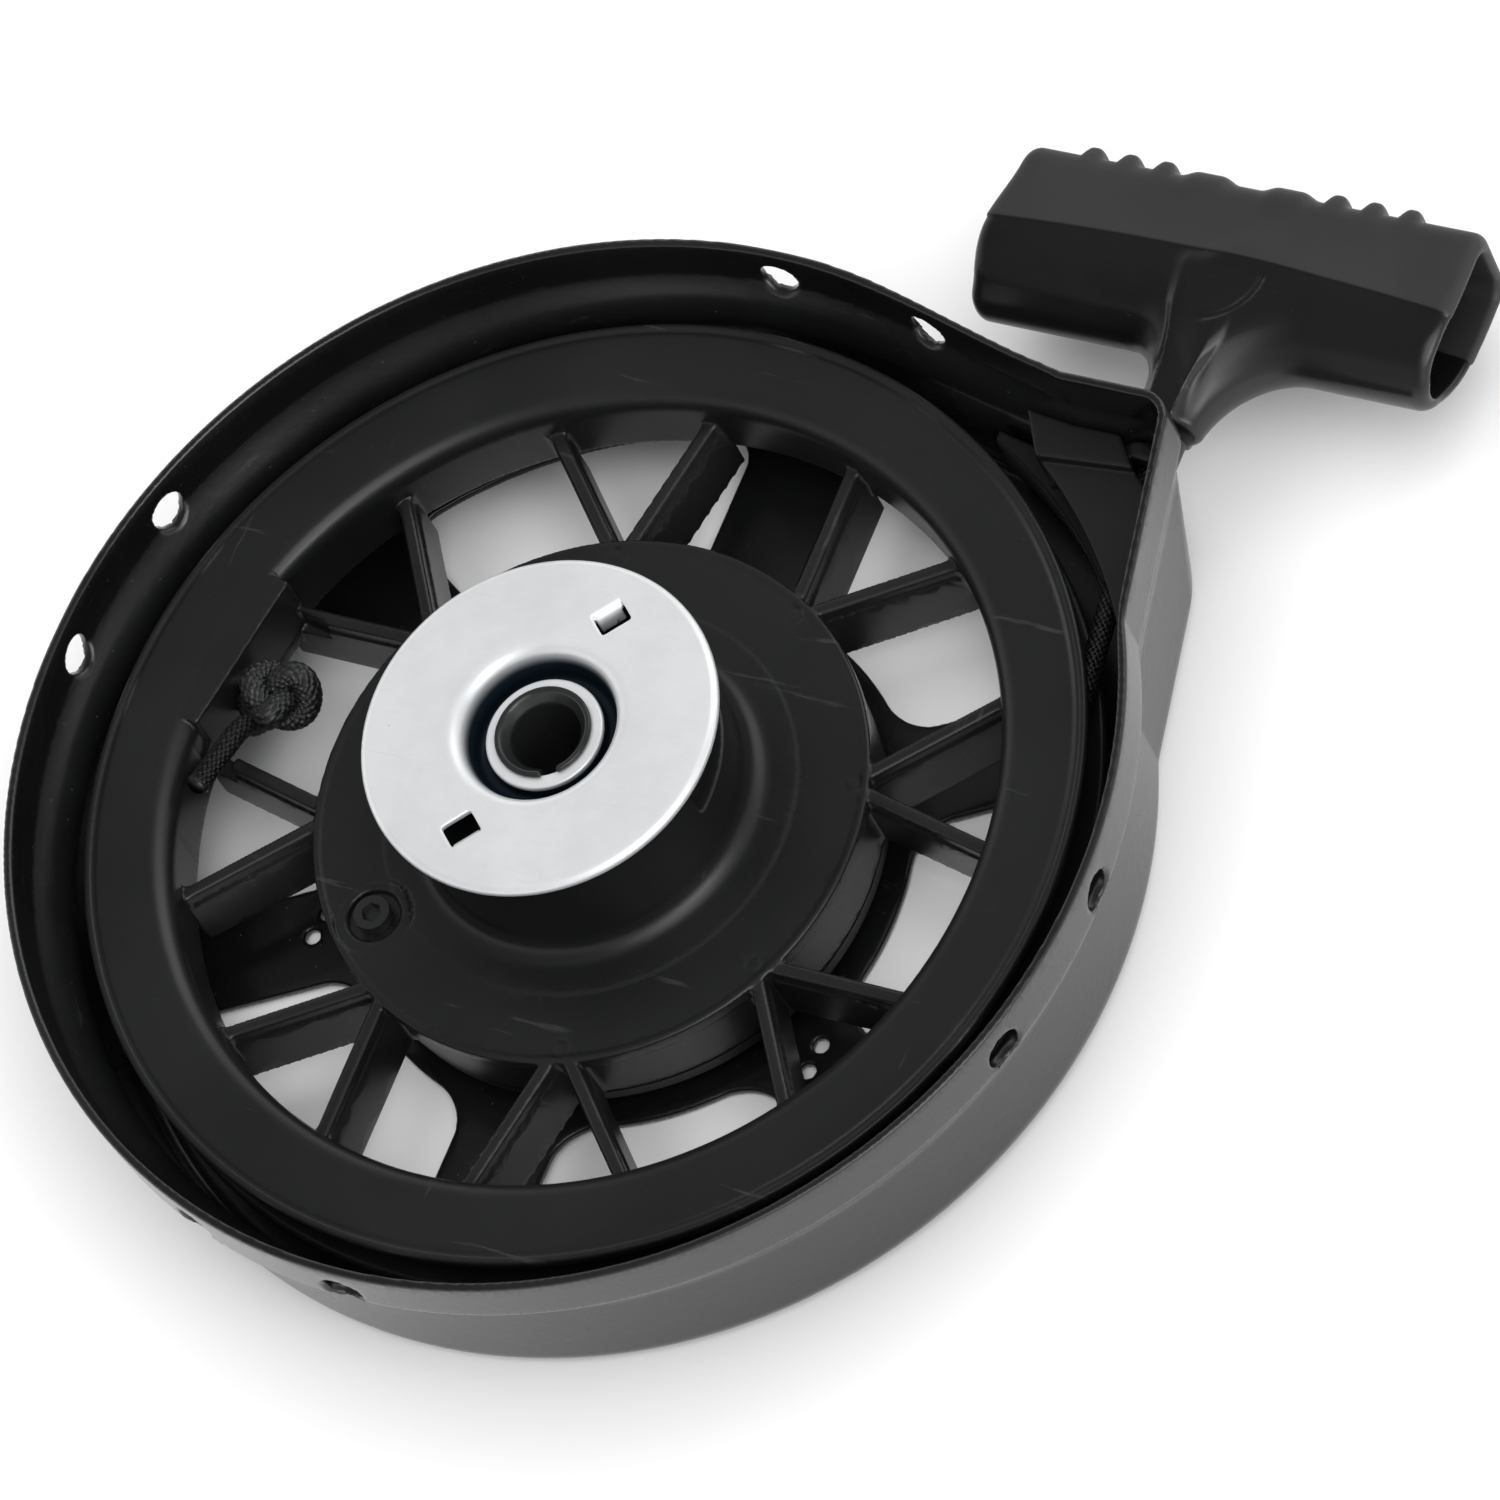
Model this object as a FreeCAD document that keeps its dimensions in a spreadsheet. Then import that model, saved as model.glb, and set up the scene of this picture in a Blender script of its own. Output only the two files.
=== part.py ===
import FreeCAD, Part, Sketcher
import math
import os
import re

# Recoil starter for a small engine.  The starter lies on its back plate: the
# origin is the centre of the plate's outer face, +Z is the pulley's axis
# towards the engine and +Y is the way the handle is pulled.

doc = FreeCAD.newDocument("recoil_starter")

# ---------------------------------------------------------------- dimensions
DIMENSIONS = {
    # stamped housing
    "sheet_gauge": 1.5,
    "rim_radius": 89.7,
    "back_radius": 85.6,
    "housing_depth": 37.5,
    "jog_low": 20.4,
    "jog_high": 27.2,
    "back_fillet": 4.0,
    "nose_reach": 79.5,
    "nose_tangent": 13.6,
    "nose_corner": 4.5,
    "nose_blend": 8.0,
    "window_inner": 46.5,
    "window_outer": 75.0,
    "window_corner": 6.0,
    "arm_width": 17.0,
    "arm_angle": 30.0,
    "exit_radius": 4.0,
    "skirt_hole": 3.2,
    "skirt_hole_height": 30.7,
    "skirt_pair_angle": 81.5,
    "skirt_half_angle": 9.0,
    # post, pin and washers
    "post_radius": 9.0,
    "post_top": 36.0,
    "pin_radius": 7.0,
    "pin_bore": 5.55,
    "pin_lip": 7.7,
    "pin_slot": 2.4,
    "pin_slot_angle": -59.0,
    "pin_seat": 8.9,
    "pin_top": 43.1,
    "washer_radius": 9.4,
    "washer_base": 40.95,
    "washer_gauge": 1.15,
    "thrust_radius": 12.5,
    "thrust_base": 34.6,
    "thrust_gauge": 0.8,
    # retainer
    "retainer_radius": 28.5,
    "retainer_top": 45.7,
    "retainer_gauge": 1.2,
    "bowl_radius": 11.6,
    "bowl_floor": 39.1,
    "neck_radius": 9.3,
    "neck_top": 40.85,
    "tab_orbit": 19.8,
    "tab_size": 4.6,
    "tab_angle": 78.0,
    "tab_drop": 3.5,
    # pulley
    "flange_radius": 80.6,
    "flange_top": 27.0,
    "flange_gauge": 2.6,
    "flange_round": 4.4,
    "pulley_base": 13.6,
    "drum_inner": 66.6,
    "drum_radius": 68.8,
    "disc_radius": 45.0,
    "disc_top": 20.6,
    "disc_gauge": 2.4,
    "rib_width": 2.1,
    "rib_base": 8.0,
    "rib_spread": 1.6,
    "rib_fan": 11.25,
    "rib_root": 0.6,
    "rib_apex_angle": 17.2,
    "case_radius": 43.6,
    "case_wall": 2.2,
    "case_base": 7.0,
    "boss_radius": 25.6,
    "boss_wall": 2.8,
    "boss_top": 43.8,
    "boss_floor": 32.6,
    "boss_flare": 5.0,
    "tube_radius": 12.2,
    "tube_base": 4.6,
    "running_gap": 0.06,
    "pocket_wall": 66.4,
    "pocket_depth": 7.0,
    "pocket_length": 30.0,
    "pocket_start": -9.0,
    "dog_window_inner": 12.6,
    "dog_window_outer": 29.4,
    "dog_window_start": 8.0,
    "dog_window_end": 25.5,
    "dog_heel_inner": 19.6,
    "dog_heel_start": 0.6,
    # spring case contents
    "strip_gauge": 0.9,
    "strip_pitch": 1.9,
    "strip_base": 7.6,
    "strip_width": 9.6,
    "cover_base": 4.9,
    "screw_orbit": 37.7,
    "screw_angle": -134.0,
    "screw_head": 2.9,
    "screw_shank": 1.9,
    "screw_recess": 4.3,
    "screw_sink": 1.15,
    "screw_height": 2.2,
    "socket_radius": 1.7,
    "socket_depth": 0.75,
    "brake_wire": 0.36,
    # dogs
    "dog_orbit": 17.6,
    "dog_angle": -8.0,
    "dog_reach": 16.0,
    "dog_lean": 15.0,
    "dog_base": 33.4,
    "dog_depth": 7.2,
    "dog_eye": 4.3,
    "dog_tip": 2.1,
    "dog_pivot": 2.4,
    "dog_wire": 0.25,
    "dog_wire_leg": 4.5,
    # rope and handle
    "rope_radius": 1.8,
    "rope_height": 20.3,
    "rope_offset": 66.0,
    "lead_pitch": 74.2,
    "coil_radius": 76.1,
    "lead_trim": 26.0,
    "guide_back": 70.0,
    "guide_bore": 2.3,
    "guide_gap": 0.4,
    "guide_wall": 4.0,
    "guide_edge": 18.0,
    "knot_inset": 6.9,
    "knot_line": 5.4,
    "knot_rise": 2.6,
    "knot_depth": 4.2,
    "knot_width": 5.8,
    "knot_height": 6.0,
    "tail_length": 17.5,
    "grip_length": 80.0,
    "grip_centre": 66.5,
    "grip_line": 107.0,
    "grip_front": 15.0,
    "grip_back": 13.0,
    "grip_half": 8.8,
    "grip_wall": 2.6,
    "grip_corner": 3.0,
    "grip_web": 9.0,
    "ridge_radius": 1.9,
    "ridge_first": 13.5,
    "ridge_pitch": 6.2,
    "stop_knot_gap": 3.25,
    "stem_end": 81.2,
    "stem_radius": 5.6,
    "stem_growth": 2.4,
    "stem_inset": 6.0,
    "insert_radius": 4.4,
}

sheet = doc.addObject("Spreadsheet::Sheet", "sizes")
for row, (alias, number) in enumerate(DIMENSIONS.items(), start=1):
    sheet.set("A%d" % row, alias)
    sheet.set("B%d" % row, str(number))
    sheet.setAlias("B%d" % row, alias)
doc.recompute()

# Tools run past the faces that they cut by this much.
PAST = 3.0


def size(text):
    """Value of an expression written with the sheet's aliases."""
    result = sheet.evalExpression(str(text))
    return float(getattr(result, "Value", result))


def bind(obj, prop, text):
    """Bind a property to an expression written with the sheet's aliases."""
    obj.setExpression(prop, re.sub(r"([a-z_]{3,})", r"sizes.\1", str(text)))


def turn(x, y, degrees):
    """Point (x, y) turned about the origin."""
    angle = math.radians(degrees)
    return (x * math.cos(angle) - y * math.sin(angle), x * math.sin(angle) + y * math.cos(angle))


# ------------------------------------------------------------------- builders
def cylinder(name, radius, height, base="0", x=0.0, y=0.0):
    obj = doc.addObject("Part::Cylinder", name)
    bind(obj, "Radius", radius)
    bind(obj, "Height", height)
    obj.Placement.Base = FreeCAD.Vector(x, y, 0)
    bind(obj, "Placement.Base.z", base)
    return obj


def box(name, length, width, height, corner, angle=0.0):
    """Box with bound sides; corner is (x, y, z) before the turn about +Z."""
    obj = doc.addObject("Part::Box", name)
    bind(obj, "Length", length)
    bind(obj, "Width", width)
    bind(obj, "Height", height)
    x, y, z = (size(part) for part in corner)
    spin = FreeCAD.Rotation(FreeCAD.Vector(0, 0, 1), angle)
    obj.Placement = FreeCAD.Placement(spin.multVec(FreeCAD.Vector(x, y, z)), spin)
    return obj


def fused(name, parts):
    obj = doc.addObject("Part::MultiFuse", name)
    obj.Shapes = parts
    return obj


def y_rod(name, radius, start, length):
    """Cylinder along +Y on the rope's line; start and length are expressions."""
    obj = doc.addObject("Part::Cylinder", name)
    bind(obj, "Radius", radius)
    bind(obj, "Height", length)
    obj.Placement = FreeCAD.Placement(
        FreeCAD.Vector(size("rope_offset"), size(start), size("rope_height")),
        FreeCAD.Rotation(FreeCAD.Vector(1, 0, 0), -90))
    return obj


def cut(name, base, tools):
    tool = tools[0] if len(tools) == 1 else fused(name + "_tools", tools)
    obj = doc.addObject("Part::Cut", name)
    obj.Base = base
    obj.Tool = tool
    return obj


def rounded(name, base, radius, wanted):
    """Part::Fillet of the edges for which wanted(edge) is true."""
    doc.recompute()
    obj = doc.addObject("Part::Fillet", name)
    obj.Base = base
    obj.Edges = [(i, radius, radius) for i, edge in enumerate(base.Shape.Edges, 1) if wanted(edge)]
    return obj


def upright(edge):
    """True for a straight edge along Z."""
    if edge.Curve.TypeId != "Part::GeomLine":
        return False
    return abs(abs(edge.Curve.Direction.z) - 1) < 1e-6


def new_body(name):
    return doc.addObject("PartDesign::Body", name)


def new_sketch(body, name, plane="XY_Plane", lift="0"):
    """Sketch on one of the body's own origin planes, lifted along its normal."""
    sketch = body.newObject("Sketcher::SketchObject", name)
    planes = [item for item in body.Origin.OriginFeatures if item.Role == plane]
    sketch.AttachmentSupport = [(planes[0], "")]
    sketch.MapMode = "FlatFace"
    bind(sketch, "AttachmentOffset.Base.z", lift)
    return sketch


def draw_polygon(sketch, corners):
    """Closed outline whose corners are pairs of expressions, each one bound."""
    points = [FreeCAD.Vector(size(u), size(v), 0) for u, v in corners]
    count = len(points)
    for i in range(count):
        sketch.addGeometry(Part.LineSegment(points[i], points[(i + 1) % count]), False)
    for i in range(count):
        sketch.addConstraint(Sketcher.Constraint("Coincident", i, 2, (i + 1) % count, 1))
    for i, corner in enumerate(corners):
        for kind, text, value in zip(("DistanceX", "DistanceY"), corner, (points[i].x, points[i].y)):
            at = sketch.addConstraint(Sketcher.Constraint(kind, -1, 1, i, 1, value))
            if re.search("[a-z]", text):
                bind(sketch, "Constraints[%d]" % at, text)


def turned(name, profile):
    """Body turned about +Z from a profile of (radius, height) expressions."""
    body = new_body(name)
    sketch = new_sketch(body, name + "_profile", "XZ_Plane")
    draw_polygon(sketch, profile)
    revolution = body.newObject("PartDesign::Revolution", name + "_turned")
    revolution.Profile = sketch
    revolution.ReferenceAxis = (sketch, ["V_Axis"])
    revolution.Angle = 360
    body.Tip = revolution
    return body


def prism(name, outline, base, height):
    """Body padded upwards from an outline of (x, y) expressions."""
    body = new_body(name)
    sketch = new_sketch(body, name + "_outline", "XY_Plane", base)
    draw_polygon(sketch, outline)
    pad = body.newObject("PartDesign::Pad", name + "_pad")
    pad.Profile = sketch
    bind(pad, "Length", height)
    body.Tip = pad
    return body


def placed(name, shape):
    """Part::Feature for a shape that no sketch or primitive fits."""
    obj = doc.addObject("Part::Feature", name)
    obj.Shape = shape
    return obj


def copied(name, source, angle=0.0, base=(0.0, 0.0, 0.0)):
    """Link-free copy of a shape, turned about +Z and moved."""
    doc.recompute()
    obj = doc.addObject("Part::Feature", name)
    obj.Shape = source.Shape
    spin = FreeCAD.Rotation(FreeCAD.Vector(0, 0, 1), angle)
    obj.Placement = FreeCAD.Placement(FreeCAD.Vector(*base), spin).multiply(obj.Placement)
    return obj


nodes = {}


def node(name, obj):
    obj.Label = name
    nodes[name] = obj
    return obj


# -------------------------------------------------------------------- housing
def nose_outline(radius, reach, corner):
    """Edges of the housing's outline: a circle that runs tangent into the nose.

    The nose's side wall is tangent to the circle, its top wall lies at y =
    reach, and a hollow blend joins the top wall to the circle."""
    tangent = math.radians(size("nose_tangent"))
    blend = size("nose_blend") + size("rim_radius") - radius
    tip_x = (radius - reach * math.sin(tangent)) / math.cos(tangent)
    blend_x = math.sqrt((radius + blend) ** 2 - (reach + blend) ** 2)
    start = (radius * math.cos(tangent), radius * math.sin(tangent))
    half = (math.pi / 2 + tangent) / 2
    setback = corner / math.tan(half)
    side = (tip_x + setback * math.sin(tangent), reach - setback * math.cos(tangent))
    centre = (tip_x - setback, reach - corner)
    top = (tip_x - setback, reach)
    knuckle = tuple(c + corner * f for c, f in zip(centre, (math.cos(half), math.sin(half))))
    join = (blend_x, reach)
    meet = (blend_x * radius / (radius + blend), (reach + blend) * radius / (radius + blend))
    middle_angle = (-math.pi / 2 + math.atan2(-(reach + blend), -blend_x)) / 2
    hollow = (blend_x + blend * math.cos(middle_angle), reach + blend + blend * math.sin(middle_angle))

    def at(point):
        return FreeCAD.Vector(point[0], point[1], 0)

    return [
        Part.LineSegment(at(start), at(side)),
        Part.Arc(at(side), at(knuckle), at(top)),
        Part.LineSegment(at(top), at(join)),
        Part.Arc(at(join), at(hollow), at(meet)),
        Part.Arc(at(meet), at((-radius * math.cos(tangent), -radius * math.sin(tangent))), at(start)),
    ]


def nose_solid(name, inset, floor):
    """Solid inside the housing's outline, moved inwards by inset, from floor up."""
    body = new_body(name)
    jog = size("rim_radius") - size("back_radius")
    reach = size("nose_reach")
    low = (size("back_radius") - inset, reach - inset - jog / 2, size("nose_corner") - inset)
    high = (size("rim_radius") - inset, reach - inset, size("nose_corner") - inset)
    lifts = ((low, floor), (low, "jog_low"), (high, "jog_high"))
    sketches = []
    for i, (outline, lift) in enumerate(lifts):
        sketch = new_sketch(body, "%s_outline_%d" % (name, i), "XY_Plane", lift)
        sketch.addGeometry(nose_outline(*outline), False)
        sketches.append(sketch)
    lower = body.newObject("PartDesign::Pad", name + "_lower")
    lower.Profile = sketches[0]
    bind(lower, "Length", "jog_low - (%s)" % floor)
    body.Tip = lower
    step = body.newObject("PartDesign::AdditiveLoft", name + "_step")
    step.Profile = sketches[1]
    step.Sections = [sketches[2]]
    step.Ruled = True
    body.Tip = step
    upper = body.newObject("PartDesign::Pad", name + "_upper")
    upper.Profile = sketches[2]
    bind(upper, "Length", "housing_depth - jog_high")
    body.Tip = upper
    doc.recompute()
    fillet = body.newObject("PartDesign::Fillet", name + "_fillet")
    bottom = size(floor)
    low_edges = []
    for i, edge in enumerate(upper.Shape.Edges, 1):
        if edge.BoundBox.ZMax < bottom + 1e-4:
            low_edges.append("Edge%d" % i)
    fillet.Base = (upper, low_edges)
    bind(fillet, "Radius", "back_fillet - %g" % inset)
    body.Tip = fillet
    return body


def skirt_hole(index, angle):
    """Radial hole through the skirt wall."""
    hole = doc.addObject("Part::Cylinder", "skirt_hole_%d" % index)
    bind(hole, "Radius", "skirt_hole")
    bind(hole, "Height", "rim_radius")
    x, y = turn(size("rim_radius / 2"), 0, angle)
    aim = FreeCAD.Rotation(FreeCAD.Vector(0, 0, 1), FreeCAD.Vector(x, y, 0))
    hole.Placement = FreeCAD.Placement(FreeCAD.Vector(x, y, size("skirt_hole_height")), aim)
    return hole


def build_housing():
    outer = nose_solid("shell_outer", 0.0, "0")
    gauge = size("sheet_gauge")
    inner = nose_solid("shell_inner", gauge, "sheet_gauge")
    shell = cut("shell", outer, [inner])
    arms = []
    for k in range(3):
        arms.append(box("arm_%d" % k, "2 * window_outer + 4", "arm_width", "4 * back_fillet",
                        ("-window_outer - 2", "-arm_width / 2", "-back_fillet"),
                        size("arm_angle") + 60 * k))
    core = cylinder("window_core", "window_inner", "4 * back_fillet", "-back_fillet")
    disc = cylinder("window_disc", "window_outer", "2 * back_fillet", -PAST)
    ring = cut("window_ring", disc, [core] + arms)
    windows = rounded("windows", ring, size("window_corner"), upright)
    post_hole = cylinder("post_hole", "post_radius", "2 * back_fillet", -PAST)
    holes = [y_rod("rope_hole", "exit_radius", "nose_reach - 10", "20")]
    for k in range(4):
        for side in (-1, 1):
            angle = size("skirt_pair_angle") + 90 * k + side * size("skirt_half_angle")
            holes.append(skirt_hole(2 * k + (side + 1) // 2, angle))
    width = "3 * rim_radius"
    corner = "-1.5 * rim_radius"
    above = box("skirt_room", width, width, "housing_depth", (corner, corner, "back_fillet"))
    below = box("plate_room", width, width, "housing_depth", (corner, corner, "back_fillet - housing_depth"))
    node("housing_skirt", cut("skirt", shell, [below] + holes))
    node("housing_plate", cut("plate", shell, [above, windows, post_hole]))


def build_post():
    node("centre_post", turned("post", [
        ("pin_radius - 1", "0"), ("post_radius", "0"), ("post_radius", "sheet_gauge"),
        ("post_radius + 3", "sheet_gauge"), ("post_radius + 3", "sheet_gauge + 2"),
        ("post_radius", "sheet_gauge + 2.6"), ("post_radius", "post_top"), ("pin_radius", "post_top"),
        ("pin_radius", "pin_seat"), ("pin_radius - 1", "pin_seat")]))


def build_pin():
    blank = turned("pin_blank", [
        ("pin_bore", "pin_seat"), ("pin_radius - 0.6", "pin_seat"), ("pin_radius", "pin_seat + 0.8"),
        ("pin_radius", "washer_base + washer_gauge + 0.05"),
        ("pin_lip", "washer_base + washer_gauge + 0.05"),
        ("pin_lip", "pin_top - 0.4"), ("pin_lip - 0.5", "pin_top"), ("pin_bore", "pin_top")])
    slot = box("pin_slot_cut", "2 * pin_radius", "pin_slot", "pin_top + %g" % PAST,
               ("0", "-pin_slot / 2", "0"), size("pin_slot_angle"))
    node("spring_pin", cut("pin", blank, [slot]))


def build_washers():
    node("top_washer", turned("top_washer", [
        ("pin_radius + 0.15", "washer_base"), ("washer_radius", "washer_base"),
        ("washer_radius", "washer_base + washer_gauge"),
        ("pin_radius + 0.15", "washer_base + washer_gauge")]))
    node("lower_washer", turned("lower_washer", [
        ("post_radius + 0.1", "thrust_base"), ("thrust_radius", "thrust_base"),
        ("thrust_radius", "thrust_base + thrust_gauge"),
        ("post_radius + 0.1", "thrust_base + thrust_gauge")]))


# ------------------------------------------------------------------- retainer
def build_retainer():
    disc = turned("retainer_disc", [
        ("bowl_radius + 3.2", "retainer_top"), ("retainer_radius - 0.8", "retainer_top"),
        ("retainer_radius", "retainer_top - 0.5"), ("retainer_radius", "retainer_top - 2.0"),
        ("retainer_radius - 1", "retainer_top - 2.0"),
        ("retainer_radius - 1", "retainer_top - retainer_gauge"),
        ("bowl_radius + 3.6", "retainer_top - retainer_gauge"),
        ("bowl_radius + 1.7", "retainer_top - 2.4"), ("bowl_radius + 1.1", "retainer_top - 4.2"),
        ("bowl_radius + 1.1", "bowl_floor - 1.1"), ("neck_radius - 1", "bowl_floor - 1.1"),
        ("neck_radius - 1", "neck_top"), ("neck_radius", "neck_top"), ("neck_radius", "bowl_floor"),
        ("bowl_radius", "bowl_floor"), ("bowl_radius", "retainer_top - 3.6"),
        ("bowl_radius + 1", "retainer_top - 1.4"), ("bowl_radius + 2", "retainer_top - 0.4")])
    holes = []
    tabs = []
    for k in range(2):
        angle = size("tab_angle") + 180 * k
        holes.append(box("tab_hole_%d" % k, "tab_size", "tab_size", "tab_drop + %g" % PAST,
                         ("tab_orbit - tab_size / 2", "-tab_size / 2", "retainer_top - tab_drop"),
                         angle))
        tabs.append(box("tab_%d" % k, "tab_size", "retainer_gauge", "tab_drop - 0.1",
                        ("tab_orbit - tab_size / 2", "tab_size / 2 - 0.3", "retainer_top - tab_drop"),
                        angle))
    node("retainer", fused("retainer_whole", [cut("retainer_cut", disc, holes)] + tabs))


# --------------------------------------------------------------------- pulley
def build_pulley():
    hub = turned("hub", [
        ("post_radius + running_gap", "tube_base"), ("tube_radius", "tube_base"),
        ("tube_radius", "boss_floor - 2.4"), ("boss_radius - boss_wall", "boss_floor - 2.4"),
        ("boss_radius - boss_wall", "disc_top - disc_gauge"),
        ("case_radius - case_wall", "disc_top - disc_gauge"),
        ("case_radius - case_wall", "case_base"), ("case_radius", "case_base"),
        ("case_radius", "disc_top - disc_gauge"), ("disc_radius", "disc_top - disc_gauge"),
        ("disc_radius", "disc_top"), ("boss_radius + boss_flare", "disc_top"),
        ("boss_radius + 0.3 * boss_flare", "disc_top + 0.3 * boss_flare"),
        ("boss_radius", "disc_top + boss_flare"), ("boss_radius", "boss_top"),
        ("boss_radius - boss_wall", "boss_top"), ("boss_radius - boss_wall", "boss_floor"),
        ("tube_radius", "boss_floor"), ("tube_radius", "thrust_base - 0.05"),
        ("post_radius + running_gap", "thrust_base - 0.05")])
    ring = turned("rope_ring", [
        ("drum_inner", "pulley_base"), ("flange_radius", "pulley_base"),
        ("flange_radius", "pulley_base + flange_gauge"), ("drum_radius", "pulley_base + flange_gauge"),
        ("drum_radius", "flange_top - flange_gauge"), ("flange_radius", "flange_top - flange_gauge"),
        ("flange_radius", "flange_top"), ("drum_inner", "flange_top")])
    inner = size("drum_inner")
    top = size("flange_top")

    def inner_lip(edge):
        return abs(edge.BoundBox.ZMin - top) < 1e-4 and abs(edge.BoundBox.XMax - inner) < 1e-3

    lip = rounded("ring_rounded", ring, size("flange_round"), inner_lip)
    ribs = []
    root = size("disc_radius - rib_root")
    tip = size("drum_inner + rib_root")
    spread = size("rib_spread")
    fan = size("rib_fan")
    for k in range(16):
        apex = size("rib_apex_angle") + 45 * (k // 2)
        side = 1 if k % 2 else -1
        end = turn(tip, 0, apex + side * fan)
        start = turn(root, side * spread, apex)
        along = (end[0] - start[0], end[1] - start[1])
        rib = doc.addObject("Part::Box", "rib_%02d" % k)
        rib.Length = math.hypot(*along)
        bind(rib, "Width", "rib_width")
        bind(rib, "Height", "disc_top - rib_base")
        heading = math.degrees(math.atan2(along[1], along[0]))
        aside = turn(0, -size("rib_width / 2"), heading)
        rib.Placement = FreeCAD.Placement(
            FreeCAD.Vector(start[0] + aside[0], start[1] + aside[1], size("rib_base")),
            FreeCAD.Rotation(FreeCAD.Vector(0, 0, 1), heading))
        ribs.append(rib)
    pivots = []
    windows = []
    for k in range(2):
        angle = size("dog_angle") + 180 * k
        x, y = turn(size("dog_orbit"), 0, angle)
        pivots.append(cylinder("dog_post_%d" % k, "dog_pivot", "dog_base + dog_depth - boss_floor + 0.8",
                               "boss_floor - 0.5", x, y))
        windows.append(box("dog_window_%d" % k, "dog_window_outer - dog_window_inner",
                           "dog_window_end - dog_window_start", "boss_top - boss_floor",
                           ("dog_window_inner", "dog_window_start", "boss_floor + 0.4"), angle))
        windows.append(box("dog_heel_%d" % k, "dog_window_outer - dog_heel_inner",
                           "dog_window_end - dog_heel_start", "boss_top - boss_floor",
                           ("dog_heel_inner", "dog_heel_start", "boss_floor + 0.4"), angle))
    blank = fused("pulley_blank", [hub, lip] + ribs + pivots)
    knot_angle = math.degrees(math.atan2(size("knot_line + 1.1"), -size("pocket_wall")))
    knot_x, knot_y = turn(size("drum_inner - 3"), 0, knot_angle)
    eye = doc.addObject("Part::Cylinder", "rope_eye")
    bind(eye, "Radius", "rope_radius + 0.3")
    bind(eye, "Height", "3 * %g" % PAST)
    eye.Placement = FreeCAD.Placement(
        FreeCAD.Vector(knot_x, knot_y, size("rope_height")),
        FreeCAD.Rotation(FreeCAD.Vector(0, 0, 1), FreeCAD.Vector(knot_x, knot_y, 0)))
    screw_x, screw_y = turn(size("screw_orbit"), 0, size("screw_angle"))
    tools = windows + [
        box("knot_pocket", "pocket_depth", "pocket_length", "flange_top",
            ("-pocket_wall", "pocket_start", "pulley_base + flange_gauge")),
        eye,
        cylinder("screw_counterbore", "screw_recess", str(PAST), "disc_top - screw_sink - 0.05",
                 screw_x, screw_y),
        cylinder("screw_clearance", "screw_shank + 0.2", "disc_top", "case_base", screw_x, screw_y),
    ]
    node("pulley", cut("pulley_whole", blank, tools))


def build_cover():
    plate = turned("cover_plate", [
        ("tube_radius + 0.3", "cover_base"), ("case_radius", "cover_base"),
        ("case_radius", "case_base - 0.05"), ("tube_radius + 0.3", "case_base - 0.05")])
    x, y = turn(size("screw_orbit"), 0, size("screw_angle"))
    boss = cylinder("cover_boss", "screw_shank + 1.2", "disc_top - disc_gauge - 0.1 - case_base + 1",
                    "case_base - 1", x, y)
    hole = cylinder("cover_hole", "screw_shank", "disc_top", "0", x, y)
    node("spring_cover", cut("cover", fused("cover_blank", [plate, boss]), [hole]))
    head = cylinder("screw_head", "screw_head", "screw_height", "disc_top - screw_sink", x, y)
    shank = cylinder("screw_body", "screw_shank", "disc_top - screw_sink - cover_base", "cover_base", x, y)
    socket = doc.addObject("Part::Prism", "screw_socket")
    socket.Polygon = 6
    bind(socket, "Circumradius", "socket_radius")
    bind(socket, "Height", "screw_height")
    socket.Placement.Base = FreeCAD.Vector(x, y, size("disc_top - screw_sink + socket_depth"))
    node("cover_screw", cut("screw", fused("screw_blank", [head, shank]), [socket]))


def build_rewind_spring():
    """Flat spiral made of half-turn arcs whose radius grows by half a pitch."""
    pitch = size("strip_pitch")
    gauge = size("strip_gauge")
    inner = size("tube_radius + 1.4")
    limit = size("screw_orbit - screw_shank - 1.2 - 1.0") - gauge
    half_turns = int((limit - inner) / (pitch / 2))
    edges = []
    starts = []
    ends = []
    for shift in (0.0, gauge):
        x = inner + shift
        starts.append(FreeCAD.Vector(x, 0, 0))
        for i in range(half_turns):
            side = 1 if i % 2 == 0 else -1
            radius = inner + shift + i * pitch / 2
            centre = x - side * radius
            begin = FreeCAD.Vector(x, 0, 0)
            x = centre - side * radius
            middle = FreeCAD.Vector(centre, side * radius, 0)
            edges.append(Part.Arc(begin, middle, FreeCAD.Vector(x, 0, 0)).toShape())
        ends.append(FreeCAD.Vector(x, 0, 0))
    edges.append(Part.makeLine(*starts))
    edges.append(Part.makeLine(*ends))
    face = Part.Face(Part.Wire(Part.__sortEdges__(edges)))
    face.translate(FreeCAD.Vector(0, 0, size("strip_base")))
    node("rewind_spring", placed("spiral", face.extrude(FreeCAD.Vector(0, 0, size("strip_width")))))


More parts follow.
